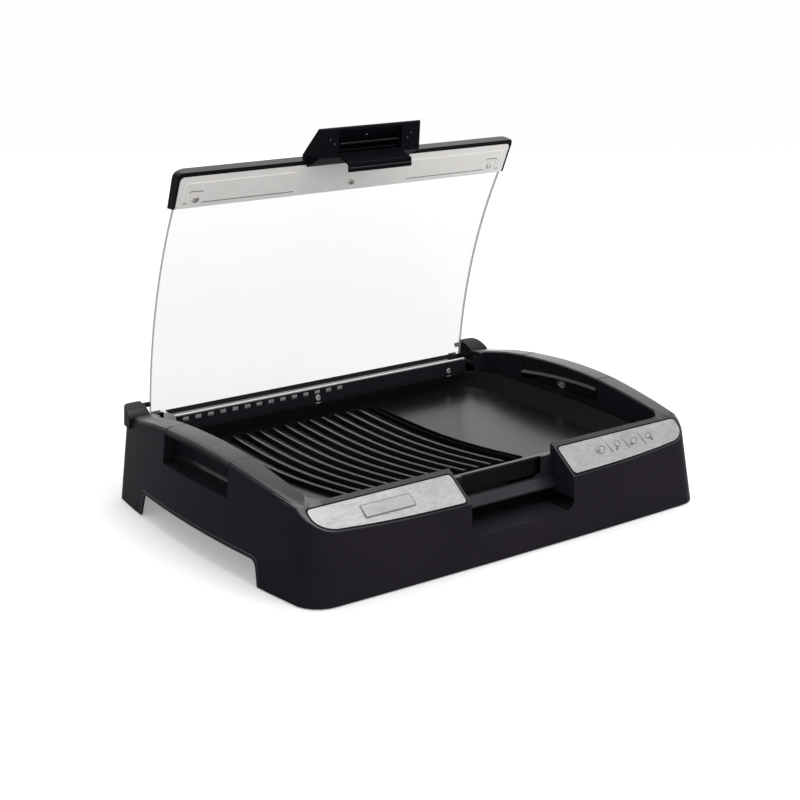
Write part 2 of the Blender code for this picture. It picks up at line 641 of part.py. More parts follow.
# Lower ledge between the horns, the lip in front of it with its windows, and walls that
# close the corners
def add_rear_ledge(base):
    wide = LEDGE_HALF_WIDTH
    rear = BASE_HALF_DEPTH - WALL
    plate = box("ledge_plate", (-wide - EMBED, WELL_REAR + EMBED, LEDGE_TOP - WALL),
                (wide + EMBED, BASE_HALF_DEPTH, LEDGE_TOP + WALL))
    boolean(plate, make_outer_form("ledge_form", EMBED, EMBED), "INTERSECT")
    boolean(base, plate, "UNION")
    for sign in (-1.0, 1.0):
        near, far = sorted((sign * (wide - EMBED), sign * (wide + WALL)))
        cheek = box("ledge_cheek", (near, WELL_REAR + EMBED, HAND_FLOOR),
                    (far, rear, HORN_DECK - EMBED))
        boolean(cheek, make_outer_form("cheek_form", EMBED, EMBED), "INTERSECT")
        boolean(base, cheek, "UNION")
    back, over = BASE_HALF_DEPTH + OVERRUN, RIM_HEIGHT + OVERRUN
    profile = [(WELL_REAR - WALL, LIP_TOP), (WELL_REAR + WALL, LIP_TOP), (WELL_REAR + WALL, LEDGE_TOP),
               (back, LEDGE_TOP), (back, over), (WELL_REAR - WALL, over)]
    boolean(base, prism("ledge_cut", profile, "X", -wide, wide))
    sill = LEDGE_TOP + WINDOW_SILL
    windows = []
    for k in range(WINDOW_COUNT):
        x = WINDOW_MARGIN - wide + k * WINDOW_PITCH
        windows.append(box("lip_window", (x - WINDOW_WIDTH / 2.0, WELL_REAR - WALL, sill),
                           (x + WINDOW_WIDTH / 2.0, WELL_REAR + 2.0 * WALL, sill + WINDOW_HEIGHT)))
    boolean(base, joined("window_cut", windows))
    for sign in (-1.0, 1.0):
        near, far = sorted((sign * (wide - WALL), sign * (BASE_HALF_WIDTH + OVERRUN)))
        boolean(base, box("horn_deck_cut", (near, HORN_FRONT - GAP, HORN_DECK),
                          (far, BASE_HALF_DEPTH + OVERRUN, RIM_HEIGHT + OVERRUN)))
        near, far = sorted((sign * (HORN_INNER - GAP), sign * (BASE_HALF_WIDTH + OVERRUN)))
        boolean(base, box("horn_seat_cut", (near, HORN_FRONT - GAP, HORN_SEAM - GAP),
                          (far, BASE_HALF_DEPTH + OVERRUN, HORN_DECK + WALL)))


# Several closed meshes gathered into one object
def joined(name, parts, mat=None):
    bm = bmesh.new()
    for part in parts:
        bm.from_mesh(part.data)
        bpy.data.objects.remove(part, do_unlink=True)
    return add_object(name, bm, mat)


def add_hinge_slots(base):
    wide = CLAMP_WIDTH / 2.0 + SLOT_PLAY
    far = GLASS_FOOT_Y + GLASS_THICKNESS / 2.0 + CLAMP_JAW + 2.0 * SLOT_PLAY
    cuts = []
    for sign in (-1.0, 1.0):
        x = sign * HINGE_X
        cuts.append(box("slot", (x - wide, WELL_REAR - WALL, HINGE_Z - ARM_EYE - SLOT_PLAY - WALL),
                        (x + wide, far, LIP_TOP + WALL)))
    boolean(base, joined("hinge_slots", cuts))


def add_socket_opening(base):
    wide = SOCKET_HALF_WIDTH + GAP
    tall = SOCKET_HALF_HEIGHT + GAP
    corners = [(SOCKET_X - wide, SOCKET_Z - tall), (SOCKET_X + wide, SOCKET_Z - tall),
               (SOCKET_X + wide, SOCKET_Z + tall), (SOCKET_X - wide, SOCKET_Z + tall)]
    boolean(base, prism("socket_cut", rounded(corners, SOCKET_CORNER), "Y",
                        BASE_HALF_DEPTH - BASE_END_BOW - BASE_END_DRAFT - WALL - EMBED,
                        BASE_HALF_DEPTH + OVERRUN))


# Slope of the front blocks as a direction and a starting point
def slope_frame():
    edge_y = -BASE_HALF_DEPTH + FRONT_EDGE_SETBACK
    along = Vector((0.0, WELL_FRONT - edge_y, BLOCK_TOP - FRONT_EDGE_HEIGHT))
    return Vector((0.0, edge_y, FRONT_EDGE_HEIGHT)), along.length, along.normalized()


# Plate outline on the slope: its lower edge follows the bow of the housing's front
def plate_form(name, grow, low, high, mat=None):
    start, run, along = slope_frame()
    half = BASE_HALF_WIDTH - BASE_SIDE_DRAFT
    inner = RECESS_HALF_WIDTH + PLATE_BORDER - grow
    outer = PLATE_OUTER + grow
    far = run - PLATE_BACK_MARGIN + grow

    def near(x):
        share = x / half
        bow = BASE_END_BOW * share ** 2 + BASE_FRONT_BOW * share ** 4
        return PLATE_FRONT_MARGIN - grow + bow / along.y

    bend = PLATE_OUTER - PLATE_CORNER
    corners = [(x, near(x)) for x in (blend(inner, bend, k / 7.0) for k in range(8))]
    for k in range(1, 8):
        turn = math.pi / 2.0 * k / 7.0
        corners.append((bend + (outer - bend) * math.sin(turn),
                        near(bend) + PLATE_CORNER_RISE * (1.0 - math.cos(turn))))
    radii = [PLATE_SMALL_CORNER] + [0.0] * (len(corners) - 1) + [PLATE_SMALL_CORNER, PLATE_SMALL_CORNER]
    corners += [(outer, far), (inner, far)]
    obj = prism(name, rounded(corners, radii, 4), "Z", low, high, mat)
    turn = Matrix.Rotation(math.atan2(along.z, along.y), 4, "X")
    obj.data.transform(Matrix.Translation(start) @ turn)
    return obj


def make_trim_plates(base, mat):
    right = plate_form("trim_plate_right", 0.0, GAP - PLATE_SINK, GAP - PLATE_SINK + PLATE_THICKNESS, mat)
    mirrored(right, "trim_plate_left")
    cut = plate_form("plate_cut_right", GAP, -PLATE_SINK, OVERRUN / 2.0)
    boolean(base, cut)
    boolean(base, mirrored(cut, "plate_cut_left"))


def make_base():
    mat = material("housing_plastic", BLACK, 0.45)
    base = make_base_shell(mat)
    add_recess(base)
    add_hand_opening(base, "_right")
    add_hand_opening(base, "_left")
    add_arches(base)
    add_rear_ledge(base)
    add_hinge_slots(base)
    add_socket_opening(base)
    make_trim_plates(base, material("brushed_plate", (0.62, 0.61, 0.60), 0.35, 1.0))
    return base


# Grip over each hand opening: crowned top, outer lip and a stepped inner skirt
def make_side_grips():
    mat = material("grip_plastic", (0.022, 0.022, 0.025), 0.40)
    rings = []
    steps = 8
    for k in range(steps + 1):
        share = k / steps
        y = blend(SEAM_FRONT + GAP, SEAM_REAR - GAP, share)
        out = BASE_HALF_WIDTH - BASE_SIDE_DRAFT - BASE_SIDE_BOW * (y / BASE_HALF_DEPTH) ** 2
        well = WELL_HALF_WIDTH - WELL_SIDE_BOW * (y / BASE_HALF_DEPTH) ** 2
        top = top_height(y)
        lip = top - GRIP_LIP - SHOULDER_DROP / 4.0
        skirt = top - blend(GRIP_SKIRT_FRONT, GRIP_SKIRT_REAR, share)
        ledge = well + GRIP_LEDGE / 2.0
        section = [(out, lip), (out - SHOULDER_INSET / 8.0, top - SHOULDER_DROP / 2.0),
                   (out - SHOULDER_INSET / 2.5, top - SHOULDER_DROP / 6.0), (out - SHOULDER_INSET, top),
                   (well + WELL_EDGE_ROUND, top), (well, top - WELL_EDGE_ROUND), (well, skirt),
                   (well - GRIP_LEDGE, skirt - GRIP_LEDGE), (well - GRIP_LEDGE, skirt - 1.5 * GRIP_LEDGE),
                   (ledge + WALL, skirt - 1.5 * GRIP_LEDGE), (ledge + WALL, top - 1.5 * WALL),
                   (out - SHOULDER_INSET, top - 1.5 * WALL), (out - WALL, lip)]
        rings.append([(x, y, z) for x, z in section])
    right = smooth(loft("side_grip_right", rings, mat))
    smooth(mirrored(right, "side_grip_left"))


# Horns beside the foot of the glass: blocks that fill the rear corners of the rim and
# rise behind it in a convex ramp
def make_horns():
    mat = material("horn_plastic", (0.020, 0.020, 0.023), 0.42)
    rise = HORN_TOP - HORN_DECK
    rear = BASE_HALF_DEPTH + OVERRUN
    profile = [(HORN_FRONT, HORN_SEAM), (rear, HORN_SEAM), (rear, HORN_TOP - rise / 3.0),
               (BASE_HALF_DEPTH, HORN_TOP - rise / 12.0)]
    steps = 8
    for k in range(steps + 1):
        turn = math.pi / 2.0 * (1.0 - k / steps)
        profile.append((HORN_FRONT + (HORN_CREST - HORN_FRONT) * (1.0 - math.cos(turn)),
                        HORN_DECK + rise * math.sin(turn)))
    horn = prism("horn_cap_right", profile, "X", HORN_INNER, BASE_HALF_WIDTH + OVERRUN, mat)
    boolean(horn, make_outer_form("horn_form", 0.0, -OVERRUN), "INTERSECT")
    other = mirrored(horn, "horn_cap_left")
    boolean(other, make_outer_form("horn_form_left", 0.0, -OVERRUN), "INTERSECT")
    return horn, other


def make_lid_stops():
    mat = material("stop_rubber", DARK, 0.80)
    y = glass_point(STOP_HEIGHT - GLASS_FOOT_Z, 0.5)[0] + GAP + STOP_RADIUS
    y += STOP_RADIUS * (1.0 - math.cos(math.pi / 12.0)) + GAP
    profile = circle((y, STOP_HEIGHT), STOP_RADIUS, 12)
    right = prism("lid_stop_right", profile, "X", HORN_INNER - STOP_REACH, HORN_INNER - GAP, mat)
    mirrored(smooth(right), "lid_stop_left")


# Position on the lid's glass: distance from its foot and share of the thickness
def glass_point(distance, share=0.0):
    turn = GLASS_FOOT_TURN + distance / GLASS_RADIUS
    y = GLASS_FOOT_Y - GLASS_RADIUS * (math.cos(GLASS_FOOT_TURN) - math.cos(turn))
    z = GLASS_FOOT_Z + GLASS_RADIUS * (math.sin(turn) - math.sin(GLASS_FOOT_TURN))
    across = share * GLASS_THICKNESS
    return y + across * math.cos(turn), z + across * math.sin(turn)


def make_pan():
    mat = material("pan_coating", (0.030, 0.030, 0.031), 0.40)
    side, front, rear = PAN_SIDE_FLARE, PAN_FRONT_FLARE, PAN_REAR_FLARE
    flat = [lambda y, z=z: z for z in (PAN_RIM - PAN_LIP, PAN_RIM, PAN_FLOOR, PAN_FLOOR - PAN_PLATE)]
    inner = outline(PAN_HALF_WIDTH - side, PAN_FRONT + front, PAN_REAR - rear, PAN_SIDE_BOW, 0.0,
                    PAN_FRONT_CORNER, PAN_REAR_CORNER, 0.0, PAN_BOW_CENTRE, PAN_REAR)
    under = outline(PAN_HALF_WIDTH - side + PAN_PLATE / 2.0, PAN_FRONT + front - PAN_PLATE / 2.0,
                    PAN_REAR - rear + PAN_PLATE / 2.0, PAN_SIDE_BOW, 0.0,
                    PAN_FRONT_CORNER, PAN_REAR_CORNER, 0.0, PAN_BOW_CENTRE, PAN_REAR)
    rim = outline(PAN_HALF_WIDTH, PAN_FRONT, PAN_REAR, PAN_SIDE_BOW, 0.0, PAN_FRONT_CORNER,
                  PAN_REAR_CORNER, 0.0, PAN_BOW_CENTRE, PAN_REAR)
    lip = outline(PAN_HALF_WIDTH, PAN_FRONT, PAN_REAR, PAN_SIDE_BOW, 0.0, PAN_FRONT_CORNER,
                  PAN_REAR_CORNER, PAN_LIP_DEPTH, PAN_BOW_CENTRE, PAN_REAR)
    rings = [ring(under, flat[3]), ring(lip, flat[0]), ring(rim, flat[0]), ring(rim, flat[1]),
             ring(lip, flat[1]), ring(inner, flat[2])]
    pan = loft("grill_pan", rings, mat)
    boolean(pan, make_ribs(), "UNION")
    return smooth(pan, 28.0)


def rib_x(start, y):
    if y > RIB_BEND_Y:
        share = (y - RIB_BEND_Y) / (RIB_REAR - RIB_BEND_Y)
        return start - RIB_REAR_SWEEP * (1.0 - share * share)
    share = (RIB_BEND_Y - y) / (RIB_BEND_Y - RIB_FRONT)
    return start - RIB_REAR_SWEEP + RIB_FRONT_SWEEP * share * share


# One swept rib with a rounded top and sloping ends
def make_rib(start, width):
    rings = []
    steps = 9
    taper = RIB_HEIGHT * 1.5
    stations = [blend(RIB_REAR, RIB_FRONT, k / steps) for k in range(steps + 1)]
    heights = [RIB_HEIGHT] * len(stations)
    stations = [RIB_REAR + taper] + stations + [RIB_FRONT - taper]
    heights = [EMBED / 4.0] + heights + [EMBED / 4.0]
    for y, height in zip(stations, heights):
        x = rib_x(start, min(RIB_REAR, max(RIB_FRONT, y)))
        foot = PAN_FLOOR - EMBED
        half = width / 2.0
        section = [(-half, foot), (half, foot), (half, PAN_FLOOR + height / 4.0),
                   (0.55 * half, PAN_FLOOR + 0.9 * height), (0.0, PAN_FLOOR + height),
                   (-0.55 * half, PAN_FLOOR + 0.9 * height), (-half, PAN_FLOOR + height / 4.0)]
        rings.append([(x + a, y, b) for a, b in section])
    return loft("rib", rings)


def make_ribs():
    floor_half = PAN_HALF_WIDTH - PAN_SIDE_FLARE - PAN_SIDE_BOW / 2.0
    count = int((floor_half + RIB_BORDER_X - RIB_REAR_SWEEP - RIB_PITCH) / RIB_PITCH)
    ribs = [make_rib(RIB_BORDER_X - RIB_PITCH * (k + 1), RIB_WIDTH) for k in range(count)]
    ribs.append(make_rib(RIB_BORDER_X, RIB_BORDER_WIDTH))
    ribs.append(make_rib(RIB_BORDER_X + 2.0 * RIB_BORDER_WIDTH, RIB_BORDER_WIDTH))
    return joined("rib_set", ribs)


def tray_outline(inset):
    return outline(TRAY_HALF_WIDTH, TRAY_FRONT, TRAY_REAR, 0.0, 0.0, TRAY_CORNER, TRAY_CORNER, inset)


# Sheet tray that reflects the heat and carries the pan on its flange
def make_reflector_tray():
    mat = material("tray_steel", (0.50, 0.50, 0.50), 0.45, 1.0)
    rim = PAN_FLOOR - PAN_PLATE - GAP
    levels = [(0.0, TRAY_FLOOR), (0.0, rim - TRAY_SHEET), (-TRAY_FLANGE, rim - TRAY_SHEET),
              (-TRAY_FLANGE, rim), (TRAY_SHEET, rim), (TRAY_SHEET, TRAY_FLOOR + TRAY_SHEET)]
    rings = [ring(tray_outline(inset), lambda y, z=z: z) for inset, z in levels]
    return loft("reflector_tray", rings, mat)


def element_route():
    w, near, far = ELEMENT_HALF_WIDTH, ELEMENT_FRONT, ELEMENT_REAR
    lane = w / 3.0
    end = ELEMENT_TERMINAL
    corners = [(-end, far + 2.0 * end), (-end, far - end), (-w, far - end), (-w, near), (-lane, near),
               (-lane, far - 3.0 * end), (lane, far - 3.0 * end), (lane, near), (w, near),
               (w, far - end), (end, far - end), (end, far + 2.0 * end)]
    radii = [0.0] + [end / 1.25] * (len(corners) - 2) + [0.0]
    return rounded(corners, radii, 3)


# Bent tube with its two terminals side by side at the rear
def make_element():
    mat = material("element_steel", (0.20, 0.19, 0.18), 0.50, 1.0)
    curve = bpy.data.curves.new("heating_element", "CURVE")
    curve.dimensions = "3D"
    curve.bevel_depth = ELEMENT_RADIUS
    curve.bevel_resolution = 2
    curve.render_resolution_u = curve.resolution_u
    curve.use_fill_caps = True
    route = element_route()
    spline = curve.splines.new("POLY")
    spline.points.add(len(route) - 1)
    for point, (x, y) in zip(spline.points, route):
        point.co = (x, y, ELEMENT_HEIGHT, 1.0)
    obj = bpy.data.objects.new("heating_element", curve)
    bpy.context.scene.collection.objects.link(obj)
    curve.materials.append(mat)


# Saddle that lifts the element off the tray
def make_clips():
    mat = material("clip_steel", (0.45, 0.45, 0.45), 0.40, 1.0)
    low = TRAY_FLOOR + TRAY_SHEET + GAP
    seat = ELEMENT_HEIGHT - ELEMENT_RADIUS - GAP
    half = CLIP_WIDTH / 2.0
    cheek = ELEMENT_RADIUS + 2.0 * GAP
    top = ELEMENT_HEIGHT + ELEMENT_RADIUS / 2.0
    profile = [(-cheek - CLIP_WALL, low), (cheek + CLIP_WALL, low), (cheek + CLIP_WALL, top),
               (cheek, top), (cheek, seat), (-cheek, seat), (-cheek, top), (-cheek - CLIP_WALL, top)]
    places = (("left", -ELEMENT_HALF_WIDTH), ("right", ELEMENT_HALF_WIDTH))
    for side, x in places:
        prism("element_clip_" + side, [(x + a, z) for a, z in profile], "Y", -half, half, mat)


# Plate that closes the underside, with vents, tray posts and cups for the feet
def make_bottom_cover():
    mat = material("cover_plastic", DARK, 0.60)
    inset = WALL + COVER_CLEARANCE
    low = COVER_TOP - COVER_PLATE
    rings = [ring(base_outline(low, inset), lambda y: low), ring(base_outline(low, inset), lambda y: COVER_TOP)]
    cover = loft("bottom_cover", rings, mat)
    cups = []
    for x, y in foot_places():
        cups.append(prism("cup", circle((x, y), FOOT_RADIUS + FOOT_CUP_WALL, 20), "Z",
                          BASE_LIFT + GAP, COVER_TOP - COVER_PLATE / 2.0))
    for sx in (-1.0, 1.0):
        for y in (TRAY_FRONT + TRAY_CORNER, TRAY_REAR - TRAY_CORNER):
            x = sx * (TRAY_HALF_WIDTH - TRAY_CORNER)
            cups.append(prism("post", circle((x, y), POST_RADIUS, 12), "Z", COVER_TOP - COVER_PLATE / 2.0,
                              TRAY_FLOOR - GAP))
    boolean(cover, joined("cover_posts", cups), "UNION")
    cuts = []
    for x, y in foot_places():
        cuts.append(prism("cup_cut", circle((x, y), FOOT_RADIUS + GAP, 20), "Z", -OVERRUN / 2.0, FOOT_HEIGHT + GAP))
    for k in range(-4, 5):
        for y in (TRAY_FRONT / 2.0, TRAY_REAR / 2.0):
            x = k * VENT_PITCH
            cuts.append(box("vent", (x - VENT_WIDTH / 2.0, y - VENT_LENGTH / 2.0, low - WALL),
                            (x + VENT_WIDTH / 2.0, y + VENT_LENGTH / 2.0, COVER_TOP + WALL)))
    boolean(cover, joined("cover_cuts", cuts))
    return cover


def foot_places():
    return [(sx * FOOT_X, sy * FOOT_Y) for sy in (-1.0, 1.0) for sx in (-1.0, 1.0)]


def make_feet():
    mat = material("foot_rubber", DARK, 0.85)
    names = ("foot_front_left", "foot_front_right", "foot_rear_left", "foot_rear_right")
    for name, (x, y) in zip(names, foot_places()):
        obj = prism(name, circle((0.0, 0.0), FOOT_RADIUS, 20), "Z", 0.0, FOOT_HEIGHT, mat)
        obj.location = (x, y, 0.0)


# Recessed socket for a separate lead, in the rear wall
def make_socket():
    mat = material("socket_plastic", (0.015, 0.015, 0.016), 0.55)
    y_out = BASE_HALF_DEPTH - BASE_END_DRAFT / 4.0 + SOCKET_FLANGE / 2.0

    def frame(grow):
        wide, tall = SOCKET_HALF_WIDTH + grow, SOCKET_HALF_HEIGHT + grow
        corners = [(SOCKET_X - wide, SOCKET_Z - tall), (SOCKET_X + wide, SOCKET_Z - tall),
                   (SOCKET_X + wide, SOCKET_Z + tall), (SOCKET_X - wide, SOCKET_Z + tall)]
        return rounded(corners, SOCKET_CORNER + grow, 4)

    flush = BASE_HALF_DEPTH - BASE_END_BOW - BASE_END_DRAFT / 2.0
    body = prism("power_socket", frame(0.0), "Y", flush - SOCKET_DEPTH, BASE_HALF_DEPTH - BASE_END_BOW / 2.0, mat)
    boolean(body, prism("socket_hollow", frame(-SOCKET_WALL), "Y", flush - SOCKET_DEPTH + SOCKET_WALL, y_out))
    pin_mat = material("pin_nickel", (0.60, 0.58, 0.54), 0.25, 1.0)
    low = flush - SOCKET_DEPTH + SOCKET_WALL + GAP
    places = (("line", -SOCKET_PIN_SPACING), ("earth", 0.0), ("neutral", SOCKET_PIN_SPACING))
    for label, dx in places:
        prism("socket_pin_" + label, circle((SOCKET_X + dx, SOCKET_Z), SOCKET_PIN_RADIUS, 12), "Y",
              low, low + SOCKET_PIN_LENGTH, pin_mat)


# U-shaped bracket under the ledge: two cheeks round the arm's eye and a web
def make_hinge_brackets():
    mat = material("bracket_steel", (0.40, 0.40, 0.41), 0.40, 1.0)
    play = ARM_THICKNESS / 2.0 + BRACKET_PLAY
    outer = play + BRACKET_CHEEK
    reach = ARM_EYE + BRACKET_MARGIN
    low, high = COVER_TOP + GAP, HINGE_Z + BRACKET_MARGIN + PIN_RADIUS
    near = max(HINGE_Y - reach, WELL_REAR + WALL + GAP)
    bracket = box("hinge_bracket_right", (HINGE_X - outer, near, low),
                  (HINGE_X + outer, HINGE_Y + reach, high), mat)
    slot = box("bracket_slot", (HINGE_X - play, near - WALL, HINGE_Z - reach - BRACKET_PLAY),
               (HINGE_X + play, HINGE_Y + reach + WALL, high + WALL))
    hole = prism("bracket_hole", circle((HINGE_Y, HINGE_Z), PIN_RADIUS + GAP, 16), "X",
                 HINGE_X - outer - WALL, HINGE_X + outer + WALL)
    pin = prism("hinge_pin_right", circle((HINGE_Y, HINGE_Z), PIN_RADIUS, 16), "X",
                HINGE_X - outer - WALL / 2.0, HINGE_X + outer + WALL / 2.0,
                material("pin_steel", (0.55, 0.55, 0.56), 0.25, 1.0))
    mirrored(bracket, "hinge_bracket_left")
    mirrored(pin, "hinge_pin_left")
    for side, turned in (("_right", False), ("_left", True)):
        target = bpy.data.objects["hinge_bracket" + side]
        for tool in (slot, hole):
            boolean(target, mirrored(tool, tool.name + side) if turned else tool)


# Arm from the hinge pin up to the clamp that grips the corner of the glass
def make_arms(pivot):
    mat = material("arm_steel", (0.05, 0.05, 0.052), 0.45, 0.6)
    half = ARM_THICKNESS / 2.0
    clamp_low = -CLAMP_JAW - GAP
    front = glass_point(clamp_low, -0.5 - (CLAMP_JAW + GAP) / GLASS_THICKNESS)
    rear = glass_point(clamp_low, 0.5 + (CLAMP_JAW + GAP) / GLASS_THICKNESS)
    eye = [(HINGE_Y + ARM_EYE * math.cos(a), HINGE_Z + ARM_EYE * math.sin(a))
           for a in (math.radians(d) for d in range(140, 321, 20))]
    profile = eye + [(rear[0], rear[1] - ARM_NECK), (rear[0], rear[1] + CLAMP_JAW / 2.0),
                     (front[0], front[1] + CLAMP_JAW / 2.0)]
    arm = prism("hinge_arm_right", profile, "X", HINGE_X - half, HINGE_X + half, mat)
    up = CLAMP_HEIGHT
    jaw = [front, rear]
    for distance, share in ((up, 0.5 + (CLAMP_JAW + GAP) / GLASS_THICKNESS), (up, 0.5 + GAP / GLASS_THICKNESS),
                            (-GAP, 0.5 + GAP / GLASS_THICKNESS), (-GAP, -0.5 - GAP / GLASS_THICKNESS),
                            (up, -0.5 - GAP / GLASS_THICKNESS), (up, -0.5 - (CLAMP_JAW + GAP) / GLASS_THICKNESS)):
        jaw.append(glass_point(distance, share))
    wide = CLAMP_WIDTH / 2.0
    tools = [(prism("arm_jaw", jaw, "X", HINGE_X - wide, HINGE_X + wide), "UNION"),
             (prism("arm_hole", circle((HINGE_Y, HINGE_Z), PIN_RADIUS + GAP, 16), "X",
                    HINGE_X - wide, HINGE_X + wide), "DIFFERENCE")]
    other = mirrored(arm, "hinge_arm_left")
    for tool, operation in tools:
        boolean(arm, tool, operation)
        boolean(other, mirrored(tool, tool.name + "_left"), operation)
    for obj in (arm, other):
        hang(obj, pivot)


# Keep an object where it is while it turns with the lid
def hang(obj, pivot):
    obj.data.transform(Matrix.Translation(-pivot.location))
    for mod in obj.modifiers:
        if mod.type == "BOOLEAN" and mod.object.parent is None:
            mod.object.data.transform(Matrix.Translation(-pivot.location))
            mod.object.parent = pivot
    obj.parent = pivot
    return obj


def make_glass(pivot):
    mat = material("tempered_glass", (0.90, 0.94, 0.93), 0.02, 0.0, 0.25)
    steps = 16
    front = [glass_point(GLASS_LENGTH * k / steps, -0.5) for k in range(steps + 1)]
    back = [glass_point(GLASS_LENGTH * k / steps, 0.5) for k in range(steps + 1)]
    sheet = prism("lid_glass", front + back[::-1], "X", -GLASS_HALF_WIDTH, GLASS_HALF_WIDTH, mat)
    corners = [(-GLASS_HALF_WIDTH, GLASS_FOOT_Z - WALL), (GLASS_HALF_WIDTH, GLASS_FOOT_Z - WALL),
               (GLASS_HALF_WIDTH, FRAME_TOP), (-GLASS_HALF_WIDTH, FRAME_TOP)]
    mask = prism("glass_mask", rounded(corners, [GLASS_CORNER, GLASS_CORNER, 0.0, 0.0], 4), "Y",
                 -BASE_HALF_DEPTH, BASE_HALF_DEPTH)
    boolean(sheet, mask, "INTERSECT")
    hang(smooth(sheet), pivot)


# Place on the leaning face of the frame: height and distance behind the face
def frame_point(height, behind=0.0):
    lean = FRAME_LEAN * (height - FRAME_BOTTOM) / (FRAME_TOP - FRAME_BOTTOM)
    return FRAME_FACE_Y - lean + behind, height


# Moulding round the top of the glass: rounded ends, and a slot for the glass and the strip
def make_frame(pivot):
    mat = material("frame_plastic", (0.020, 0.020, 0.022), 0.42)
    solid = [frame_point(FRAME_TOP), frame_point(FRAME_BOTTOM), frame_point(FRAME_BOTTOM, FRAME_DEPTH),
             frame_point(FRAME_TOP, FRAME_DEPTH + FRAME_WALL), frame_point(FRAME_TOP + FRAME_RISE, FRAME_DEPTH)]
    frame = prism("lid_frame", solid, "X", -FRAME_HALF_WIDTH, FRAME_HALF_WIDTH, mat)
    seat = STRIP_SHEET + GAP
    strip_top = FRAME_TOP - FRAME_LIP
    low = FRAME_BOTTOM - WALL
    edge_y, edge_z = glass_point(GLASS_LENGTH, 0.5)
    lower_y, lower_z = glass_point(GLASS_LENGTH - FRAME_WALL, 0.5)
    drop = (edge_z - low) / (edge_z - lower_z)
    slot = [frame_point(low, -WALL), frame_point(strip_top, -WALL), frame_point(strip_top, seat),
            frame_point(edge_z + GAP, seat), (edge_y + GAP, edge_z + GAP),
            (edge_y + 2.0 * GAP + drop * (lower_y - edge_y), low)]
    inner = GLASS_HALF_WIDTH + GAP
    boolean(frame, prism("frame_slot", slot, "X", -inner, inner))
    top = FRAME_TOP + FRAME_RISE
    corners = [(-FRAME_HALF_WIDTH, FRAME_BOTTOM - WALL), (FRAME_HALF_WIDTH, FRAME_BOTTOM - WALL),
               (FRAME_HALF_WIDTH, top), (-FRAME_HALF_WIDTH, top)]
    mask = prism("frame_mask", rounded(corners, [0.0, 0.0, FRAME_CORNER, FRAME_CORNER], 5), "Y",
                 0.0, BASE_HALF_DEPTH)
    boolean(frame, mask, "INTERSECT")
    hang(frame, pivot)


def make_strip(pivot):
    mat = material("strip_steel", (0.60, 0.59, 0.57), 0.28, 1.0)
    top = FRAME_TOP - FRAME_LIP - GAP
    profile = [frame_point(FRAME_BOTTOM), frame_point(top), frame_point(top, STRIP_SHEET),
               frame_point(FRAME_BOTTOM, STRIP_SHEET)]
    strip = prism("lid_strip", profile, "X", -STRIP_HALF_WIDTH, STRIP_HALF_WIDTH, mat)
    corners = [(-STRIP_HALF_WIDTH, FRAME_BOTTOM - WALL), (STRIP_HALF_WIDTH, FRAME_BOTTOM - WALL),
               (STRIP_HALF_WIDTH, top), (-STRIP_HALF_WIDTH, top)]
    boolean(strip, prism("strip_mask", rounded(corners, [0.0, 0.0, STRIP_CORNER, STRIP_CORNER], 4), "Y",
                         0.0, BASE_HALF_DEPTH), "INTERSECT")
    hang(strip, pivot)


# Wedge-shaped handle on the frame's top edge, hollow towards the front
def make_handle(pivot):
    mat = material("handle_plastic", (0.020, 0.020, 0.022), 0.42)
    foot_y = frame_point(FRAME_TOP)[0] - GAP
    foot_low = FRAME_TOP - HANDLE_FOOT_DROP
    wall = HANDLE_WALL
    rear_y, rear_z = frame_point(FRAME_TOP + FRAME_RISE, FRAME_DEPTH)
    wedge = [(HANDLE_TIP_Y, HANDLE_TIP_Z), (HANDLE_FACE_Y, HANDLE_FACE_Z),
             (frame_point(foot_low)[0] - WALL, foot_low), (frame_point(foot_low)[0] - GAP, foot_low),
             (foot_y, FRAME_TOP + GAP), (blend(foot_y, rear_y, 0.5), blend(FRAME_TOP, rear_z, 0.5) + 1.5 * GAP),
             (HANDLE_HEEL_Y + WALL, HANDLE_HEEL_Z)]
    radii = [WALL / 2.0, WALL / 2.0, 0.0, 0.0, 0.0, 0.0, 0.0]
    shell = prism("handle_shell", rounded(wedge, radii, 2), "X", -HANDLE_HALF_WIDTH, HANDLE_HALF_WIDTH, mat)
    low = HANDLE_FACE_Z + POCKET_MARGIN
    high = HANDLE_TIP_Z - POCKET_MARGIN - wall
    run = (HANDLE_HEEL_Y - HANDLE_TIP_Y) / (HANDLE_TIP_Z - HANDLE_HEEL_Z)
    back = HANDLE_TIP_Y - wall + run * (HANDLE_TIP_Z - low)
    pocket = [(HANDLE_TIP_Y - WALL - wall, high), (HANDLE_TIP_Y - WALL - wall, low),
              (min(back, HANDLE_HEEL_Y - wall), low), (HANDLE_TIP_Y + run * (HANDLE_TIP_Z - high) - wall, high)]
    boolean(shell, prism("handle_pocket", pocket, "X", -POCKET_HALF_WIDTH, POCKET_HALF_WIDTH))
    hang(shell, pivot)
    make_latch(pivot, mat)
    make_handle_tray(pivot, mat)


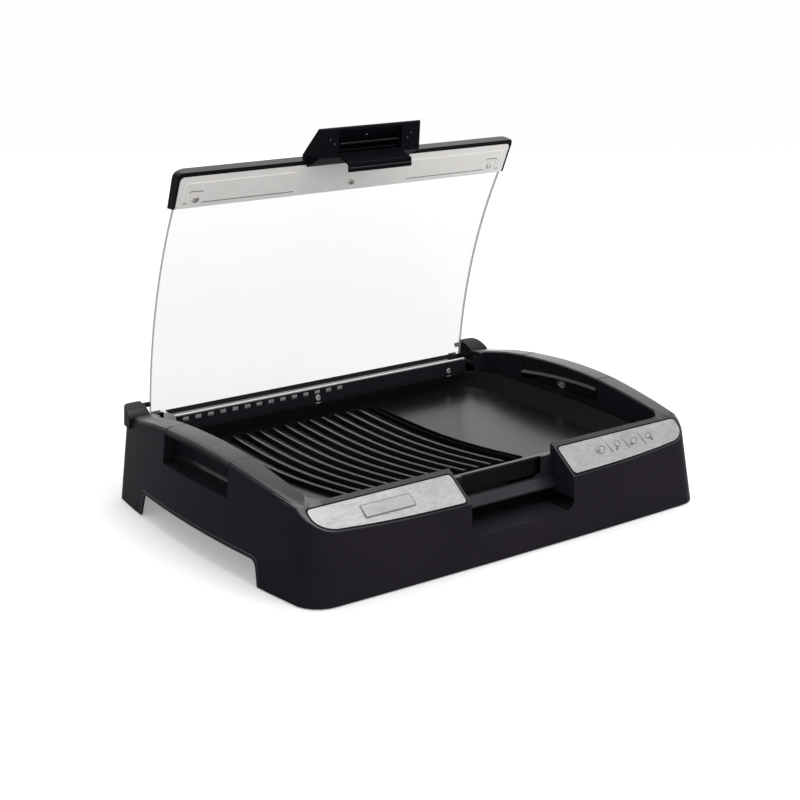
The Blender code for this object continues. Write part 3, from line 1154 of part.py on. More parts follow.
# Flat frame of the latch lying across the pocket
def make_latch(pivot, mat):
    wide, tall, bar = LATCH_HALF_WIDTH, LATCH_HEIGHT, LATCH_BAR
    deep = HANDLE_FACE_Y + WALL
    ear = POCKET_HALF_WIDTH - GAP
    corners = [(-wide, LATCH_Z), (wide, LATCH_Z), (wide, LATCH_Z + tall), (-wide, LATCH_Z + tall)]
    latch = prism("handle_latch", rounded(corners, bar, 3), "Y", deep, deep + bar, mat)
    corners = [(-wide + bar, LATCH_Z + bar), (wide - bar, LATCH_Z + bar),
               (wide - bar, LATCH_Z + tall - bar), (-wide + bar, LATCH_Z + tall - bar)]
    boolean(latch, prism("latch_window", corners, "Y", deep - WALL, deep + WALL + bar))
    middle = LATCH_Z + tall / 2.0
    pins = [prism("latch_pin", circle((deep + bar / 2.0, middle), bar / 2.2, 8), "X", a, b)
            for a, b in ((-ear, -wide + bar / 2.0), (wide - bar / 2.0, ear))]
    boolean(latch, joined("latch_pins", pins), "UNION")
    hang(latch, pivot)


# Lip under the pocket that reaches forward and turns down
def make_handle_tray(pivot, mat):
    wall = HANDLE_TRAY_WALL
    y0 = HANDLE_FACE_Y - GAP
    z0 = HANDLE_FACE_Z + wall
    y1 = HANDLE_FACE_Y - HANDLE_TRAY_REACH
    z1 = z0 - HANDLE_TRAY_FALL
    low = z1 - HANDLE_TRAY_LIP
    profile = [(y0, z0), (y1, z1), (y1, low), (y1 + wall, low), (y1 + wall, z1 - wall), (y0, z0 - wall)]
    tray = prism("handle_tray", rounded(profile, [0.0, wall / 1.5, 0.0, 0.0, 0.0, 0.0], 3), "X",
                 -HANDLE_TRAY_HALF_WIDTH, HANDLE_TRAY_HALF_WIDTH, mat)
    hang(tray, pivot)


# Screw head standing a gap off a face that leans forward by an angle
def screw_head(name, x, y, z, lean, mat):
    steps = 14
    chamfer = SCREW_HEAD / 2.5
    bm = bmesh.new()
    loops = []
    for radius, out in ((SCREW_RADIUS, GAP), (SCREW_RADIUS, SCREW_HEAD + GAP - chamfer),
                        (SCREW_RADIUS - chamfer, SCREW_HEAD + GAP)):
        loops.append([bm.verts.new((a, -out, b)) for a, b in circle((0.0, 0.0), radius, steps)])
    for low, high in zip(loops, loops[1:]):
        for i in range(steps):
            j = (i + 1) % steps
            bm.faces.new((low[i], low[j], high[j], high[i]))
    bm.faces.new(loops[0])
    bm.faces.new(loops[-1])
    obj = add_object(name, bm, mat)
    obj.data.transform(Matrix.Translation((x, y, z)) @ Matrix.Rotation(lean, 4, "X"))
    return obj


def make_screws(pivot):
    steel = material("screw_steel", (0.58, 0.57, 0.55), 0.30, 1.0)
    black = material("screw_black", (0.03, 0.03, 0.03), 0.35, 0.8)
    lean = math.atan2(FRAME_LEAN, FRAME_HEIGHT)
    for label, x in (("left", -STRIP_SCREW_X), ("centre", 0.0), ("right", STRIP_SCREW_X)):
        y, z = frame_point(STRIP_SCREW_Z)
        hang(screw_head("strip_screw_" + label, x, y, z, lean, steel), pivot)
    rise = HANDLE_TIP_Z - HANDLE_FACE_Z
    lean = math.atan2(HANDLE_FACE_Y - HANDLE_TIP_Y, rise)
    y = blend(HANDLE_FACE_Y, HANDLE_TIP_Y, (HANDLE_SCREW_Z - HANDLE_FACE_Z) / rise)
    for label, x in (("left", -HANDLE_SCREW_X), ("right", HANDLE_SCREW_X)):
        hang(screw_head("handle_screw_" + label, x, y, HANDLE_SCREW_Z, lean, black), pivot)
    for label, x in (("left", LEDGE_SCREW_LEFT_X), ("right", LEDGE_SCREW_RIGHT_X)):
        screw_head("wall_screw_" + label, x, WELL_REAR, LEDGE_SCREW_Z, 0.0, steel)


def make_lid():
    pivot = bpy.data.objects.new("lid_pivot", None)
    pivot.location = (0.0, HINGE_Y, HINGE_Z)
    bpy.context.scene.collection.objects.link(pivot)
    make_arms(pivot)
    make_glass(pivot)
    make_frame(pivot)
    make_strip(pivot)
    make_handle(pivot)
    make_screws(pivot)


def main():
    clear_scene()
    make_base()
    make_side_grips()
    make_horns()
    make_lid_stops()
    make_bottom_cover()
    make_feet()
    make_reflector_tray()
    make_element()
    make_clips()
    make_pan()
    make_socket()
    make_hinge_brackets()
    make_lid()


main()
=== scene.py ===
import json
import math
import bpy
from mathutils import Matrix, Vector


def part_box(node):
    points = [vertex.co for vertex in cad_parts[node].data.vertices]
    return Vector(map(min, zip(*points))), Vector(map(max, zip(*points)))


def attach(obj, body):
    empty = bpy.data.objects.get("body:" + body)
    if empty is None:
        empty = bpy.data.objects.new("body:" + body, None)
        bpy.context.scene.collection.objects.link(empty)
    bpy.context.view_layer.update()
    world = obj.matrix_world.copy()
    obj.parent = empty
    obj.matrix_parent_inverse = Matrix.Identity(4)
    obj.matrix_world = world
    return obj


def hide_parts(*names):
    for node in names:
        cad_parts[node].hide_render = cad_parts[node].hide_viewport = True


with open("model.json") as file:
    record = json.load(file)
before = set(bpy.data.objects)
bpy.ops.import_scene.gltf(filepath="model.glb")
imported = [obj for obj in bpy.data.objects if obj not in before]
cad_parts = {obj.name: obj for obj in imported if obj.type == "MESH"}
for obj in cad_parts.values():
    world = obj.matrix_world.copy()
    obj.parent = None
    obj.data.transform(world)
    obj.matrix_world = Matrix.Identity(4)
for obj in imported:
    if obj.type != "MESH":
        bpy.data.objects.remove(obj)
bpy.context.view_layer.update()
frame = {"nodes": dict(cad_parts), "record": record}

# Camera fitted to the photograph; its focal length was chosen, not measured
CAMERA_PLACE = (-0.9951, -1.3345, 0.6157)
CAMERA_TURN = (73.23, 0.0, -36.41)
CAMERA_LENS = 72.0
CAMERA_SENSOR = 36.0

# Lamps: name, place, point they face, size and power in watts
LAMPS = (
    ("key_softbox", (0.2, -1.25, 2.1), (0.0, 0.0, 0.1), (1.2, 1.2), 13.5),
    ("top_softbox", (0.3, 0.3, 2.2), (0.0, 0.0, 0.0), (1.6, 1.6), 16.0),
    ("front_softbox", (0.7, -2.2, 0.8), (0.0, 0.0, 0.1), (1.0, 0.8), 11.0),
)

# Planes and places that the solids give: the leaning face of the lid's strip, the
# sloping plates, the grips' seams, the pan, the well's front and the rear lip
FACE_LEAN = math.radians(24.25)
FACE_FOOT = (0.1087, 0.3298)
SLOPE = math.radians(33.89)
PLATE_MIDDLE = (-0.1765, 0.0811)
SEAM_FRONT = -0.0533
SEAM_REAR = 0.0780
PAN_FRONT = -0.1510
PAN_RIM = 0.0800
PAN_FLOOR = 0.0660
WELL_FRONT = -0.1570
NOTCH_FLOOR = 0.0600
LIP_TOP = 0.0945
CLAMP_TOP = 0.0925
DECK_TOP = 0.0950
HANDLE_CREST = 0.3740

# What many pieces share
SIDES = (("left", -1.0), ("right", 1.0))
TINY = 1e-6
QUARTER_TURN = math.radians(90.0)
SOFT_ANGLE = math.radians(35.0)
SMOOTH_ANGLE = math.radians(32.0)
NORMAL_WEIGHT = 80
MIX_A, MIX_B, MIX_COLOUR_OUT = 6, 7, 2


def deselect():
    for obj in bpy.context.selected_objects:
        obj.select_set(False)


def activate(obj):
    deselect()
    bpy.context.view_layer.objects.active = obj
    obj.select_set(True)
    return obj


def apply_modifier(obj, kind, **values):
    activate(obj)
    mod = obj.modifiers.new(kind.title(), kind)
    for key, value in values.items():
        setattr(mod, key, value)
    bpy.ops.object.modifier_apply(modifier=mod.name)
    return obj


def settle(obj):
    activate(obj)
    bpy.ops.object.transform_apply(location=True, rotation=True, scale=True)
    return obj


def object_mode():
    if bpy.context.mode != "OBJECT":
        bpy.ops.object.mode_set(mode="OBJECT")


# Opens a piece in edit mode with the parts selected whose place passes the test
def pick(obj, kind, test):
    object_mode()
    activate(obj)
    modes = [kind == name for name in ("VERT", "EDGE", "FACE")]
    bpy.context.tool_settings.mesh_select_mode = modes
    mesh = obj.data
    for group in (mesh.vertices, mesh.edges, mesh.polygons):
        group.foreach_set("select", [False] * len(group))
    if kind == "VERT":
        for corner in mesh.vertices:
            corner.select = test(corner.co)
    elif kind == "EDGE":
        for edge in mesh.edges:
            edge.select = test(*(mesh.vertices[i].co for i in edge.vertices))
    else:
        for face in mesh.polygons:
            face.select = test(face.center, face.normal)
    bpy.ops.object.mode_set(mode="EDIT")


def move_picked(obj, test, by):
    pick(obj, "VERT", test)
    bpy.ops.transform.translate(value=by)
    object_mode()


def round_edges(obj, test, width, segments=3):
    pick(obj, "EDGE", test)
    bpy.ops.mesh.bevel(offset=width, segments=segments, affect="EDGES")
    object_mode()


def upright(a, b):
    return abs(a.x - b.x) < TINY and abs(a.y - b.y) < TINY


def level_at(height):
    return lambda a, b: abs(a.z - height) < TINY and abs(b.z - height) < TINY


# A block of a size with its middle on the origin
def block(name, size):
    deselect()
    bpy.ops.mesh.primitive_cube_add(size=1.0)
    obj = bpy.context.object
    obj.name = name
    pick_all(obj)
    bpy.ops.transform.resize(value=size)
    object_mode()
    return obj


def rod(name, radius, length, sides=16):
    deselect()
    bpy.ops.mesh.primitive_cylinder_add(vertices=sides, radius=radius, depth=length)
    obj = bpy.context.object
    obj.name = name
    end, rounding = length / 2.0, 0.35

    def rim(a, b):
        return abs(abs(a.z) - end) < TINY and abs(a.z - b.z) < TINY

    round_edges(obj, rim, radius * rounding, 2)
    return obj


def twin(obj, name):
    copy = obj.copy()
    copy.data = obj.data.copy()
    copy.name = name
    bpy.context.scene.collection.objects.link(copy)
    return copy


def pick_all(obj, kind="FACE"):
    pick(obj, kind, lambda *place: True)


def face_outwards(obj):
    pick_all(obj)
    bpy.ops.mesh.normals_make_consistent(inside=False)
    object_mode()


def mirror_twin(obj, name):
    copy = twin(obj, name)
    copy.matrix_world = Matrix.Scale(-1.0, 4, (1.0, 0.0, 0.0)) @ copy.matrix_world
    settle(copy)
    face_outwards(copy)
    return copy


# Turns a chain of edges into a round bead
def bead(obj, radius):
    activate(obj)
    bpy.ops.object.convert(target="CURVE")
    obj = bpy.context.object
    obj.data.bevel_depth = radius
    obj.data.bevel_resolution = 2
    obj.data.use_fill_caps = True
    bpy.ops.object.convert(target="MESH")
    return bpy.context.object


def cut(obj, tool):
    apply_modifier(obj, "BOOLEAN", object=tool, operation="DIFFERENCE", solver="EXACT")
    bpy.data.objects.remove(tool, do_unlink=True)


def soften(piece, width, segments=3, angle=SOFT_ANGLE, miter="MITER_ARC", harden=False):
    apply_modifier(piece, "BEVEL", width=width, segments=segments, limit_method="ANGLE",
                   angle_limit=angle, miter_outer=miter, harden_normals=harden, use_clamp_overlap=True)


# Broad faces keep their own normals and the rounded edges blend them
def even_shading(piece, angle):
    activate(piece)
    bpy.ops.object.shade_smooth_by_angle(angle=angle)
    apply_modifier(piece, "WEIGHTED_NORMAL", keep_sharp=True, weight=NORMAL_WEIGHT)


# Puts a piece built flat on the XY plane into its place and gives it its finish
def mount(obj, body, slot, place=(0.0, 0.0, 0.0), tilt=0.0, spin=0.0, nodes=(), finish=None):
    obj.matrix_world = (Matrix.Translation(place) @ Matrix.Rotation(tilt, 4, "X")
                        @ Matrix.Rotation(spin, 4, "Z") @ obj.matrix_world)
    settle(obj)
    even_shading(obj, SOFT_ANGLE)
    obj.data.materials.clear()
    obj.data.materials.append(finish or FINISH[slot])
    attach(obj, body)
    if nodes:
        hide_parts(*nodes)
    return obj


def on_face(x, up, out=0.0):
    y, z = FACE_FOOT
    return (x, y - up * math.sin(FACE_LEAN) - out * math.cos(FACE_LEAN),
            z + up * math.cos(FACE_LEAN) - out * math.sin(FACE_LEAN))


def on_plate(x, up, out=0.0):
    y, z = PLATE_MIDDLE
    return (x, y + up * math.cos(SLOPE) - out * math.sin(SLOPE),
            z + up * math.sin(SLOPE) + out * math.cos(SLOPE))


# One socket of a node tree, with arithmetic that adds the Math nodes
class Wire:
    def __init__(self, paint, socket):
        self.paint = paint
        self.socket = socket

    def _math(self, operation, first, second):
        return self.paint.node("ShaderNodeMath", {"operation": operation}, {0: first, 1: second})

    def __add__(self, other):
        return self._math("ADD", self, other)

    def __radd__(self, other):
        return self._math("ADD", other, self)

    def __mul__(self, other):
        return self._math("MULTIPLY", self, other)

    def __rmul__(self, other):
        return self._math("MULTIPLY", other, self)


# One material under construction
class Paint:
    def __init__(self, name):
        self.material = bpy.data.materials.new(name)
        self.material.use_nodes = True
        self.tree = self.material.node_tree
        self.shader = self.tree.nodes["Principled BSDF"]

    def node(self, kind, settings=None, inputs=None, output=0):
        made = self.tree.nodes.new(kind)
        for key, value in (settings or {}).items():
            if key == "stops":
                ramp = made.color_ramp.elements
                while len(ramp) < len(value):
                    ramp.new(0.5)
                for element, (place, colour) in zip(ramp, value):
                    element.position = place
                    element.color = (*colour, 1.0)
            else:
                setattr(made, key, value)
        for key, value in (inputs or {}).items():
            self.feed(made.inputs[key], value)
        return Wire(self, made.outputs[output])

    def feed(self, socket, value):
        if isinstance(value, Wire):
            self.tree.links.new(value.socket, socket)
        else:
            socket.default_value = value

    def set(self, **values):
        for key, value in values.items():
            self.feed(self.shader.inputs[key.replace("_", " ")], value)
        return self

    def place(self, scale=(1.0, 1.0, 1.0)):
        where = self.node("ShaderNodeTexCoord", output="Object")
        return self.node("ShaderNodeMapping", None, {"Vector": where, "Scale": scale})

    def noise(self, size, detail=3.0, roughness=0.5, stretch=(1.0, 1.0, 1.0)):
        scale = tuple(part / size for part in stretch)
        return self.node("ShaderNodeTexNoise", None, {
            "Vector": self.place(scale), "Scale": 1.0, "Detail": detail, "Roughness": roughness})

    def ramp(self, value, stops):
        return self.node("ShaderNodeValToRGB", {"stops": stops}, {"Fac": value})

    def map(self, value, low, high, to_low, to_high):
        return self.node("ShaderNodeMapRange", None, {
            "Value": value, "From Min": low, "From Max": high, "To Min": to_low, "To Max": to_high})

    # 0 on walls and undersides, 1 on level tops
    def upward(self, low, high):
        facing = self.node("ShaderNodeTexCoord", output="Normal")
        height = self.node("ShaderNodeSeparateXYZ", None, {"Vector": facing}, output="Z")
        return self.map(height, low, high, 0.0, 1.0)

    def tint(self, factor, dark, light):
        return self.node("ShaderNodeMix", {"data_type": "RGBA"},
                         {"Factor": factor, MIX_A: (*dark, 1.0), MIX_B: (*light, 1.0)}, output=MIX_COLOUR_OUT)

    def bump(self, height, depth, strength=1.0):
        return self.node("ShaderNodeBump", None, {"Height": height, "Distance": depth, "Strength": strength})


# Tint that dims the reflections of black plastic and of the pan's coat
DULL = (0.30, 0.30, 0.33, 1.0)


# Satin moulded plastic with a fine spark-eroded grain, glossier on its tops
def moulded(name, tone, roughness, grain=0.00006, shine=0.01, polish=1.0):
    p = Paint(name)
    fine = p.noise(0.0011, 2.0)
    broad = p.noise(0.060, 3.0)
    dark = tuple(c * 0.85 for c in tone)
    light = tuple(c * 1.18 for c in tone)
    p.set(Base_Color=p.tint(broad, dark, light), Specular_IOR_Level=shine, Specular_Tint=DULL,
          Roughness=p.map(fine * 0.5 + broad * 0.5, 0.25, 0.75, roughness - 0.05, roughness + 0.06),
          Coat_Weight=p.upward(0.35, 0.85) * p.map(broad, 0.3, 0.7, polish * 0.85, polish),
          Coat_Roughness=roughness * 0.7, Coat_IOR=1.65, Normal=p.bump(fine, grain, 0.5))
    return p.material


# Sheet steel with short rubbed marks along X over a soft mottle
def brushed(name, tone, roughness, mark=0.0030, pull=7.0, depth=0.00002, metal=1.0, spread=0.30):
    p = Paint(name)
    streak = p.noise(mark, 4.0, 0.65, (1.0 / pull, 1.0, 1.0))
    cloud = p.noise(0.022, 3.0, 0.6)
    dark = tuple(c * (1.0 - spread) for c in tone)
    light = tuple(min(1.0, c * (1.0 + spread)) for c in tone)
    p.set(Base_Color=p.tint(streak * 0.60 + cloud * 0.40, dark, light), Metallic=metal,
          Roughness=p.map(streak * 0.6 + cloud * 0.4, 0.3, 0.7, roughness - 0.08, roughness + 0.10),
          Normal=p.bump(streak, depth, 0.4))
    return p.material


# Cast aluminium under a black non-stick coat with a faint pebble
def coated(name, pebble_size=0.0013, depth=0.00003, shine=0.02, roughness=0.20):
    p = Paint(name)
    pebble = p.noise(pebble_size, 2.0, 0.6)
    cloud = p.noise(0.070, 3.0)
    height = p.node("ShaderNodeSeparateXYZ", None, {"Vector": p.place()}, output="Z")
    above_floor = p.map(height, PAN_FLOOR + 0.0010, PAN_FLOOR + 0.0040, 0.60, 1.0)
    p.set(Base_Color=p.tint(cloud, (0.0034, 0.0034, 0.0033), (0.0062, 0.0061, 0.0059)),
          Specular_IOR_Level=shine, Specular_Tint=DULL, Coat_Weight=p.upward(0.915, 0.965) * above_floor,
          Coat_Roughness=roughness, Coat_IOR=1.75,
          Roughness=p.map(pebble * 0.6 + cloud * 0.4, 0.3, 0.7, roughness - 0.05, roughness + 0.09),
          Normal=p.bump(pebble, depth, 0.6))
    return p.material


def rubber(name):
    p = Paint(name)
    fine = p.noise(0.0009, 2.0)
    p.set(Base_Color=p.tint(fine, (0.008, 0.008, 0.009), (0.014, 0.014, 0.015)), Specular_IOR_Level=0.15,
          Roughness=p.map(fine, 0.3, 0.7, 0.72, 0.86), Normal=p.bump(fine, 0.00008, 0.5))
    return p.material


# Clear toughened glass: nearly all light passes through the faces, the edge is green
def clear_glass(name):
    p = Paint(name)
    cloud = p.noise(0.200, 2.0)
    p.set(Base_Color=p.tint(cloud, (0.66, 0.67, 0.655), (0.70, 0.71, 0.695)),
          Alpha=p.map(cloud, 0.0, 1.0, 0.16, 0.19),
          Roughness=p.map(cloud, 0.0, 1.0, 0.02, 0.05), Specular_IOR_Level=0.3)
    return p.material


def glass_edge(name):
    p = Paint(name)
    cloud = p.noise(0.030, 2.0)
    p.set(Base_Color=p.tint(cloud, (0.050, 0.105, 0.095), (0.115, 0.190, 0.175)),
          Alpha=p.map(cloud, 0.0, 1.0, 0.72, 0.84),
          Roughness=p.map(cloud, 0.0, 1.0, 0.08, 0.16))
    return p.material


# Steel tube darkened and tinted by heat
def heated(name):
    p = Paint(name)
    cloud = p.noise(0.035, 3.0)
    stops = ((0.3, (0.10, 0.085, 0.070)), (0.55, (0.18, 0.15, 0.12)), (0.8, (0.13, 0.12, 0.15)))
    p.set(Base_Color=p.ramp(cloud, stops),
          Metallic=0.9, Roughness=p.map(cloud, 0.3, 0.7, 0.42, 0.60))
    return p.material


# Ink sunk into the etched lines of the plate
def etched(name):
    p = Paint(name)
    fine = p.noise(0.0006, 2.0)
    p.set(Base_Color=p.tint(fine, (0.16, 0.16, 0.16), (0.27, 0.27, 0.27)), Metallic=0.6,
          Roughness=p.map(fine, 0.3, 0.7, 0.45, 0.65))
    return p.material


FINISH = {
    "housing_plastic": moulded("housing_satin", (0.0170, 0.0143, 0.0190), 0.38),
    "grip_plastic": moulded("grip_satin", (0.0150, 0.0135, 0.0165), 0.30),
    "horn_plastic": moulded("horn_satin", (0.0120, 0.0110, 0.0135), 0.36, polish=0.35),
    "frame_plastic": moulded("frame_satin", (0.0095, 0.0092, 0.0110), 0.34),
    "handle_plastic": moulded("handle_satin", (0.0055, 0.0055, 0.0080), 0.34),
    "cover_plastic": moulded("cover_matt", (0.0060, 0.0060, 0.0065), 0.60, 0.00012, polish=0.0),
    "socket_plastic": moulded("socket_matt", (0.0100, 0.0100, 0.0110), 0.50),
    "brushed_plate": brushed("plate_brushed", (0.385, 0.380, 0.385), 0.38, 0.0020, 4.0, 0.00006,
                             metal=0.85, spread=0.55),
    "strip_steel": brushed("strip_brushed", (0.775, 0.755, 0.730), 0.50, 0.0040, 5.0,
                           metal=0.15, spread=0.08),
    "tray_steel": brushed("tray_sheet", (0.30, 0.30, 0.30), 0.50, 0.0060, 3.0),
    "clip_steel": brushed("clip_sheet", (0.45, 0.45, 0.45), 0.40),
    "bracket_steel": brushed("bracket_zinc", (0.30, 0.30, 0.31), 0.42, 0.0040, 2.0),
    "pin_steel": brushed("pin_ground", (0.50, 0.50, 0.51), 0.28),
    "screw_steel": brushed("screw_zinc", (0.58, 0.57, 0.55), 0.30, 0.0008, 2.0),
    "screw_black": brushed("screw_blackened", (0.040, 0.040, 0.042), 0.36, 0.0008, 2.0),
    "arm_steel": brushed("arm_black", (0.035, 0.035, 0.036), 0.44),
    "pin_nickel": brushed("pin_nickel_plate", (0.62, 0.60, 0.55), 0.24, 0.0010, 2.0),
    "element_steel": heated("element_tube"),
    "pan_coating": coated("pan_nonstick"),
    "stop_rubber": rubber("stop_soft"),
    "foot_rubber": rubber("foot_soft"),
    "tempered_glass": clear_glass("lid_clear"),
}

# Finishes of single pieces and faces, set to look like the photograph
ETCH = etched("plate_ink")
SPECKLE = coated("pan_speckle", 0.0010, 0.00014, 0.05, 0.45)
# Painted shade: a near-black matt tone for the recess's walls, the wall behind the mouth and the ring round
# each plate
SHADE = moulded("recess_painted_shade", (0.0030, 0.0028, 0.0035), 0.50, polish=0.1)
EDGE = glass_edge("lid_edge")
# Painted highlight: a lighter tone for the arch beads
BEAD = moulded("arch_bead_painted_highlight", (0.060, 0.056, 0.062), 0.34)
# Painted highlight: a lighter tone for the pan's rounded rim
RIM = moulded("pan_rim_painted_highlight", (0.030, 0.030, 0.029), 0.40, polish=0.4)
LIP = moulded("handle_lip_satin", (0.0055, 0.0055, 0.0075), 0.34, polish=0.12)
# Painted shade: a darker tone for the plaque's sunk border line
PLAQUE_LINE = brushed("plaque_line_painted_shade", (0.17, 0.165, 0.17), 0.40, 0.0020, 4.0)
PLAQUE = brushed("plaque_brushed", (0.34, 0.335, 0.34), 0.38, 0.0020, 4.0, 0.00006,
                 metal=0.85, spread=0.45)
# Shaded and lit copies of the strip's edge tone: painted shade and painted highlight
SHADED_EDGE = brushed("strip_edge_shaded", (0.060, 0.058, 0.055), 0.45, 0.0010, 2.0)
LIT_EDGE = brushed("strip_edge_lit", (0.92, 0.91, 0.89), 0.45, 0.0010, 2.0, metal=0.1, spread=0.05)


def paint_nodes():
    for entry in frame["record"]["subparts"]:
        obj = frame["nodes"][entry["node"]]
        obj.data.materials.clear()
        obj.data.materials.append(FINISH[entry["material_slot"]])


# A node's own form as a fresh piece, merged and ready to be worked on
def copy_of(node, name):
    merge_distance, flat_angle, quad_angle = 0.00001, math.radians(0.6), math.radians(1.0)
    piece = bpy.data.objects.new(name, frame["nodes"][node].data.copy())
    bpy.context.scene.collection.objects.link(piece)
    piece.matrix_world = Matrix()
    activate(piece)
    bpy.ops.object.mode_set(mode="EDIT")
    bpy.ops.mesh.select_all(action="SELECT")
    bpy.ops.mesh.remove_doubles(threshold=merge_distance)
    bpy.ops.mesh.dissolve_limited(angle_limit=flat_angle)
    bpy.ops.mesh.quads_convert_to_tris(quad_method="BEAUTY", ngon_method="BEAUTY")
    bpy.ops.mesh.tris_convert_to_quads(face_threshold=quad_angle, shape_threshold=math.pi)
    bpy.ops.mesh.customdata_custom_splitnormals_clear()
    bpy.ops.object.mode_set(mode="OBJECT")
    return piece


# Puts a piece in a node's place
def seat(piece, body, node):
    even_shading(piece, SMOOTH_ANGLE)
    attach(piece, body)
    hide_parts(node)
    return piece


# Softens the moulded edges of a node's copy and puts it in the node's place
def dress(node, name, body, width, angle=SOFT_ANGLE):
    piece = copy_of(node, name)
    if width:
        soften(piece, width, angle=angle, harden=True)
    return seat(piece, body, node)


# A grip's soft edges, with a dark seam at both ends and a core that closes the gap
def build_grip(side):
    node, core_inset, core_stretch, seam, near = "side_grip_" + side, 0.0014, 1.0280, 0.0009, 0.0004
    core = copy_of(node, "grip_core_" + side)
    pick_all(core, "VERT")
    bpy.ops.transform.shrink_fatten(value=-core_inset)
    bpy.ops.transform.resize(value=(1.0, core_stretch, 1.0),
                             center_override=(0.0, (SEAM_FRONT + SEAM_REAR) / 2.0, 0.0))
    object_mode()
    mount(core, "base", "cover_plastic")
    piece = copy_of(node, "grip_moulding_" + side)
    places = [v.co.y for v in piece.data.vertices]
    for end, step in ((min(places), seam), (max(places), -seam)):
        move_picked(piece, lambda co: abs(co.y - end) < near, (0.0, step, 0.0))
    soften(piece, 0.0008)
    seat(piece, "base", node)


# The pan's casting: its rounded rim painted a little lighter, a painted highlight
def build_pan():
    rounding, turn, steepest, flattest, rim_depth = 0.0009, 18.0, 0.25, 0.97, 0.0012
    pan = dress("grill_pan", "pan_casting", "base", rounding, angle=math.radians(turn))
    pan.data.materials.append(RIM)
    for face in pan.data.polygons:
        if steepest < face.normal.z < flattest and face.center.z > PAN_RIM - rim_depth:
            face.material_index = 1


# Hinge arm, its clamp kept down to the top of the rear lip
def build_arm(side):
    height_left = 0.1
    piece = copy_of("hinge_arm_" + side, "arm_plate_" + side)
    pick(piece, "VERT", lambda co: co.z > CLAMP_TOP)
    bpy.ops.transform.resize(value=(1.0, 1.0, height_left), center_override=(0.0, 0.0, CLAMP_TOP))
    object_mode()
    soften(piece, 0.0004, segments=2, miter="MITER_SHARP")
    seat(piece, "lid", "hinge_arm_" + side)


# Lets the rear heel of the handle reach down to the frame's top edge
def build_handle():
    drop, near = 0.0052, 0.0005
    piece = copy_of("handle_shell", "handle_moulding")
    heel = max(v.co.y for v in piece.data.vertices if v.co.z > HANDLE_CREST)
    move_picked(piece, lambda co: co.y > heel - near and co.z > HANDLE_CREST, (0.0, 0.0, -drop))
    soften(piece, 0.0007)
    seat(piece, "lid", "handle_shell")


# Flattens the full curve of a horn's ramp
def build_horn(side):
    piece = copy_of("horn_cap_" + side, "horn_moulding_" + side)
    heights = [v.co.z for v in piece.data.vertices]
    front, rear, crest = min(v.co.y for v in piece.data.vertices), 0.1915, max(heights)
    flattening, margin, top_margin, same_level = 0.35, 0.0005, 0.0001, 2e-5
    for height in sorted({round(h, 5) for h in heights if DECK_TOP + margin < h < crest - top_margin}):
        def on_ramp(co):
            return abs(co.z - height) < same_level and co.y < rear - margin

        ramp = [v.co.y for v in piece.data.vertices if on_ramp(v.co)]
        if ramp:
            share = (ramp[0] - front) / (rear - front)
            fall = flattening * ((height - DECK_TOP) - share * (crest - DECK_TOP))
            move_picked(piece, on_ramp, (0.0, 0.0, -max(fall, 0.0)))
    soften(piece, 0.0008)
    seat(piece, "base", "horn_cap_" + side)


# The base moulding, with the notch behind the recess opened to its full width and painted
# shade, a near-black finish, on the recess's walls, which lie in shadow in the photograph
def build_housing():
    notch_width, notch_depth, notch_height, notch_corner, below = 0.1040, 0.0120, 0.0400, 0.0090, 0.07
    piece = copy_of("base_housing", "housing_moulding")
    tool = block("notch_tool", (notch_width, notch_depth, notch_height))
    tool.location = (0.0, WELL_FRONT - 0.0015, NOTCH_FLOOR + 0.0201)
    settle(tool)

    def lower_ends(a, b):
        return abs(a.z - b.z) < TINY and a.z < below and abs(a.x - b.x) < TINY

    round_edges(tool, lower_ends, notch_corner, 5)
    cut(piece, tool)
    soften(piece, 0.0008, segments=2)
    seat(piece, "base", "base_housing")
    # Painted shade on the recess's side walls and on the walls round and inside the mouth
    piece.data.materials.append(SHADE)
    half_width, front, rear, floor, top = 0.0670, -0.1985, -0.1450, 0.0305, 0.1050
    mouth_half, mouth_top, mouth_front = 0.0500, 0.0490, -0.1790
    for face in piece.data.polygons:
        centre, normal = face.center, face.normal
        outside_mouth = abs(centre.x) > mouth_half
        low = centre.z < mouth_top
        if abs(centre.x) < half_width and front < centre.y < rear and floor < centre.z < top:
            side_wall = abs(normal.x) > 0.4 and outside_mouth
            mouth = low and abs(centre.x) < mouth_half and centre.y > mouth_front and normal.z < 0.7
            beside_mouth = normal.y < -0.6 and low and outside_mouth
            if side_wall or mouth or beside_mouth:
                face.material_index = 1


# Curved inner wall that closes each hand opening under the grip
def build_scoops():
    # (x, z) from the grip down to the floor of the opening
    profile = ((0.2362, 0.0985), (0.2362, 0.0900), (0.2364, 0.0830), (0.2376, 0.0782), (0.2404, 0.0748),
               (0.2450, 0.0735), (0.2530, 0.0733))
    end_gap, end_bow, middle_dip, near = 0.0004, 0.0080, 0.0030, 1e-4
    deselect()
    bpy.ops.mesh.primitive_grid_add(x_subdivisions=14, y_subdivisions=len(profile) - 1, size=1.0)
    scoop = bpy.context.object
    scoop.name = "hand_scoop_right"
    rows = sorted({round(v.co.y, 5) for v in scoop.data.vertices})
    columns = sorted({round(v.co.x, 5) for v in scoop.data.vertices})
    front, rear = SEAM_FRONT + end_gap, SEAM_REAR - end_gap
    for column in columns:
        share = column + 0.5
        bow = end_bow * (2.0 * share - 1.0) ** 4 - middle_dip * (2.0 * share - 1.0) ** 2
        for row, (x, z) in zip(rows, profile):
            def knot(co):
                return abs(co.x - column) < near and abs(co.y - row) < near and abs(co.z) < TINY

            along = front + (rear - front) * share
            move_picked(scoop, knot, (x + max(bow, 0.0) - column, along - row, z))
    apply_modifier(scoop, "SOLIDIFY", thickness=0.0010, offset=1.0)
    face_outwards(scoop)
    left = mirror_twin(scoop, "hand_scoop_left")
    mount(scoop, "base", "housing_plastic")
    mount(left, "base", "housing_plastic")
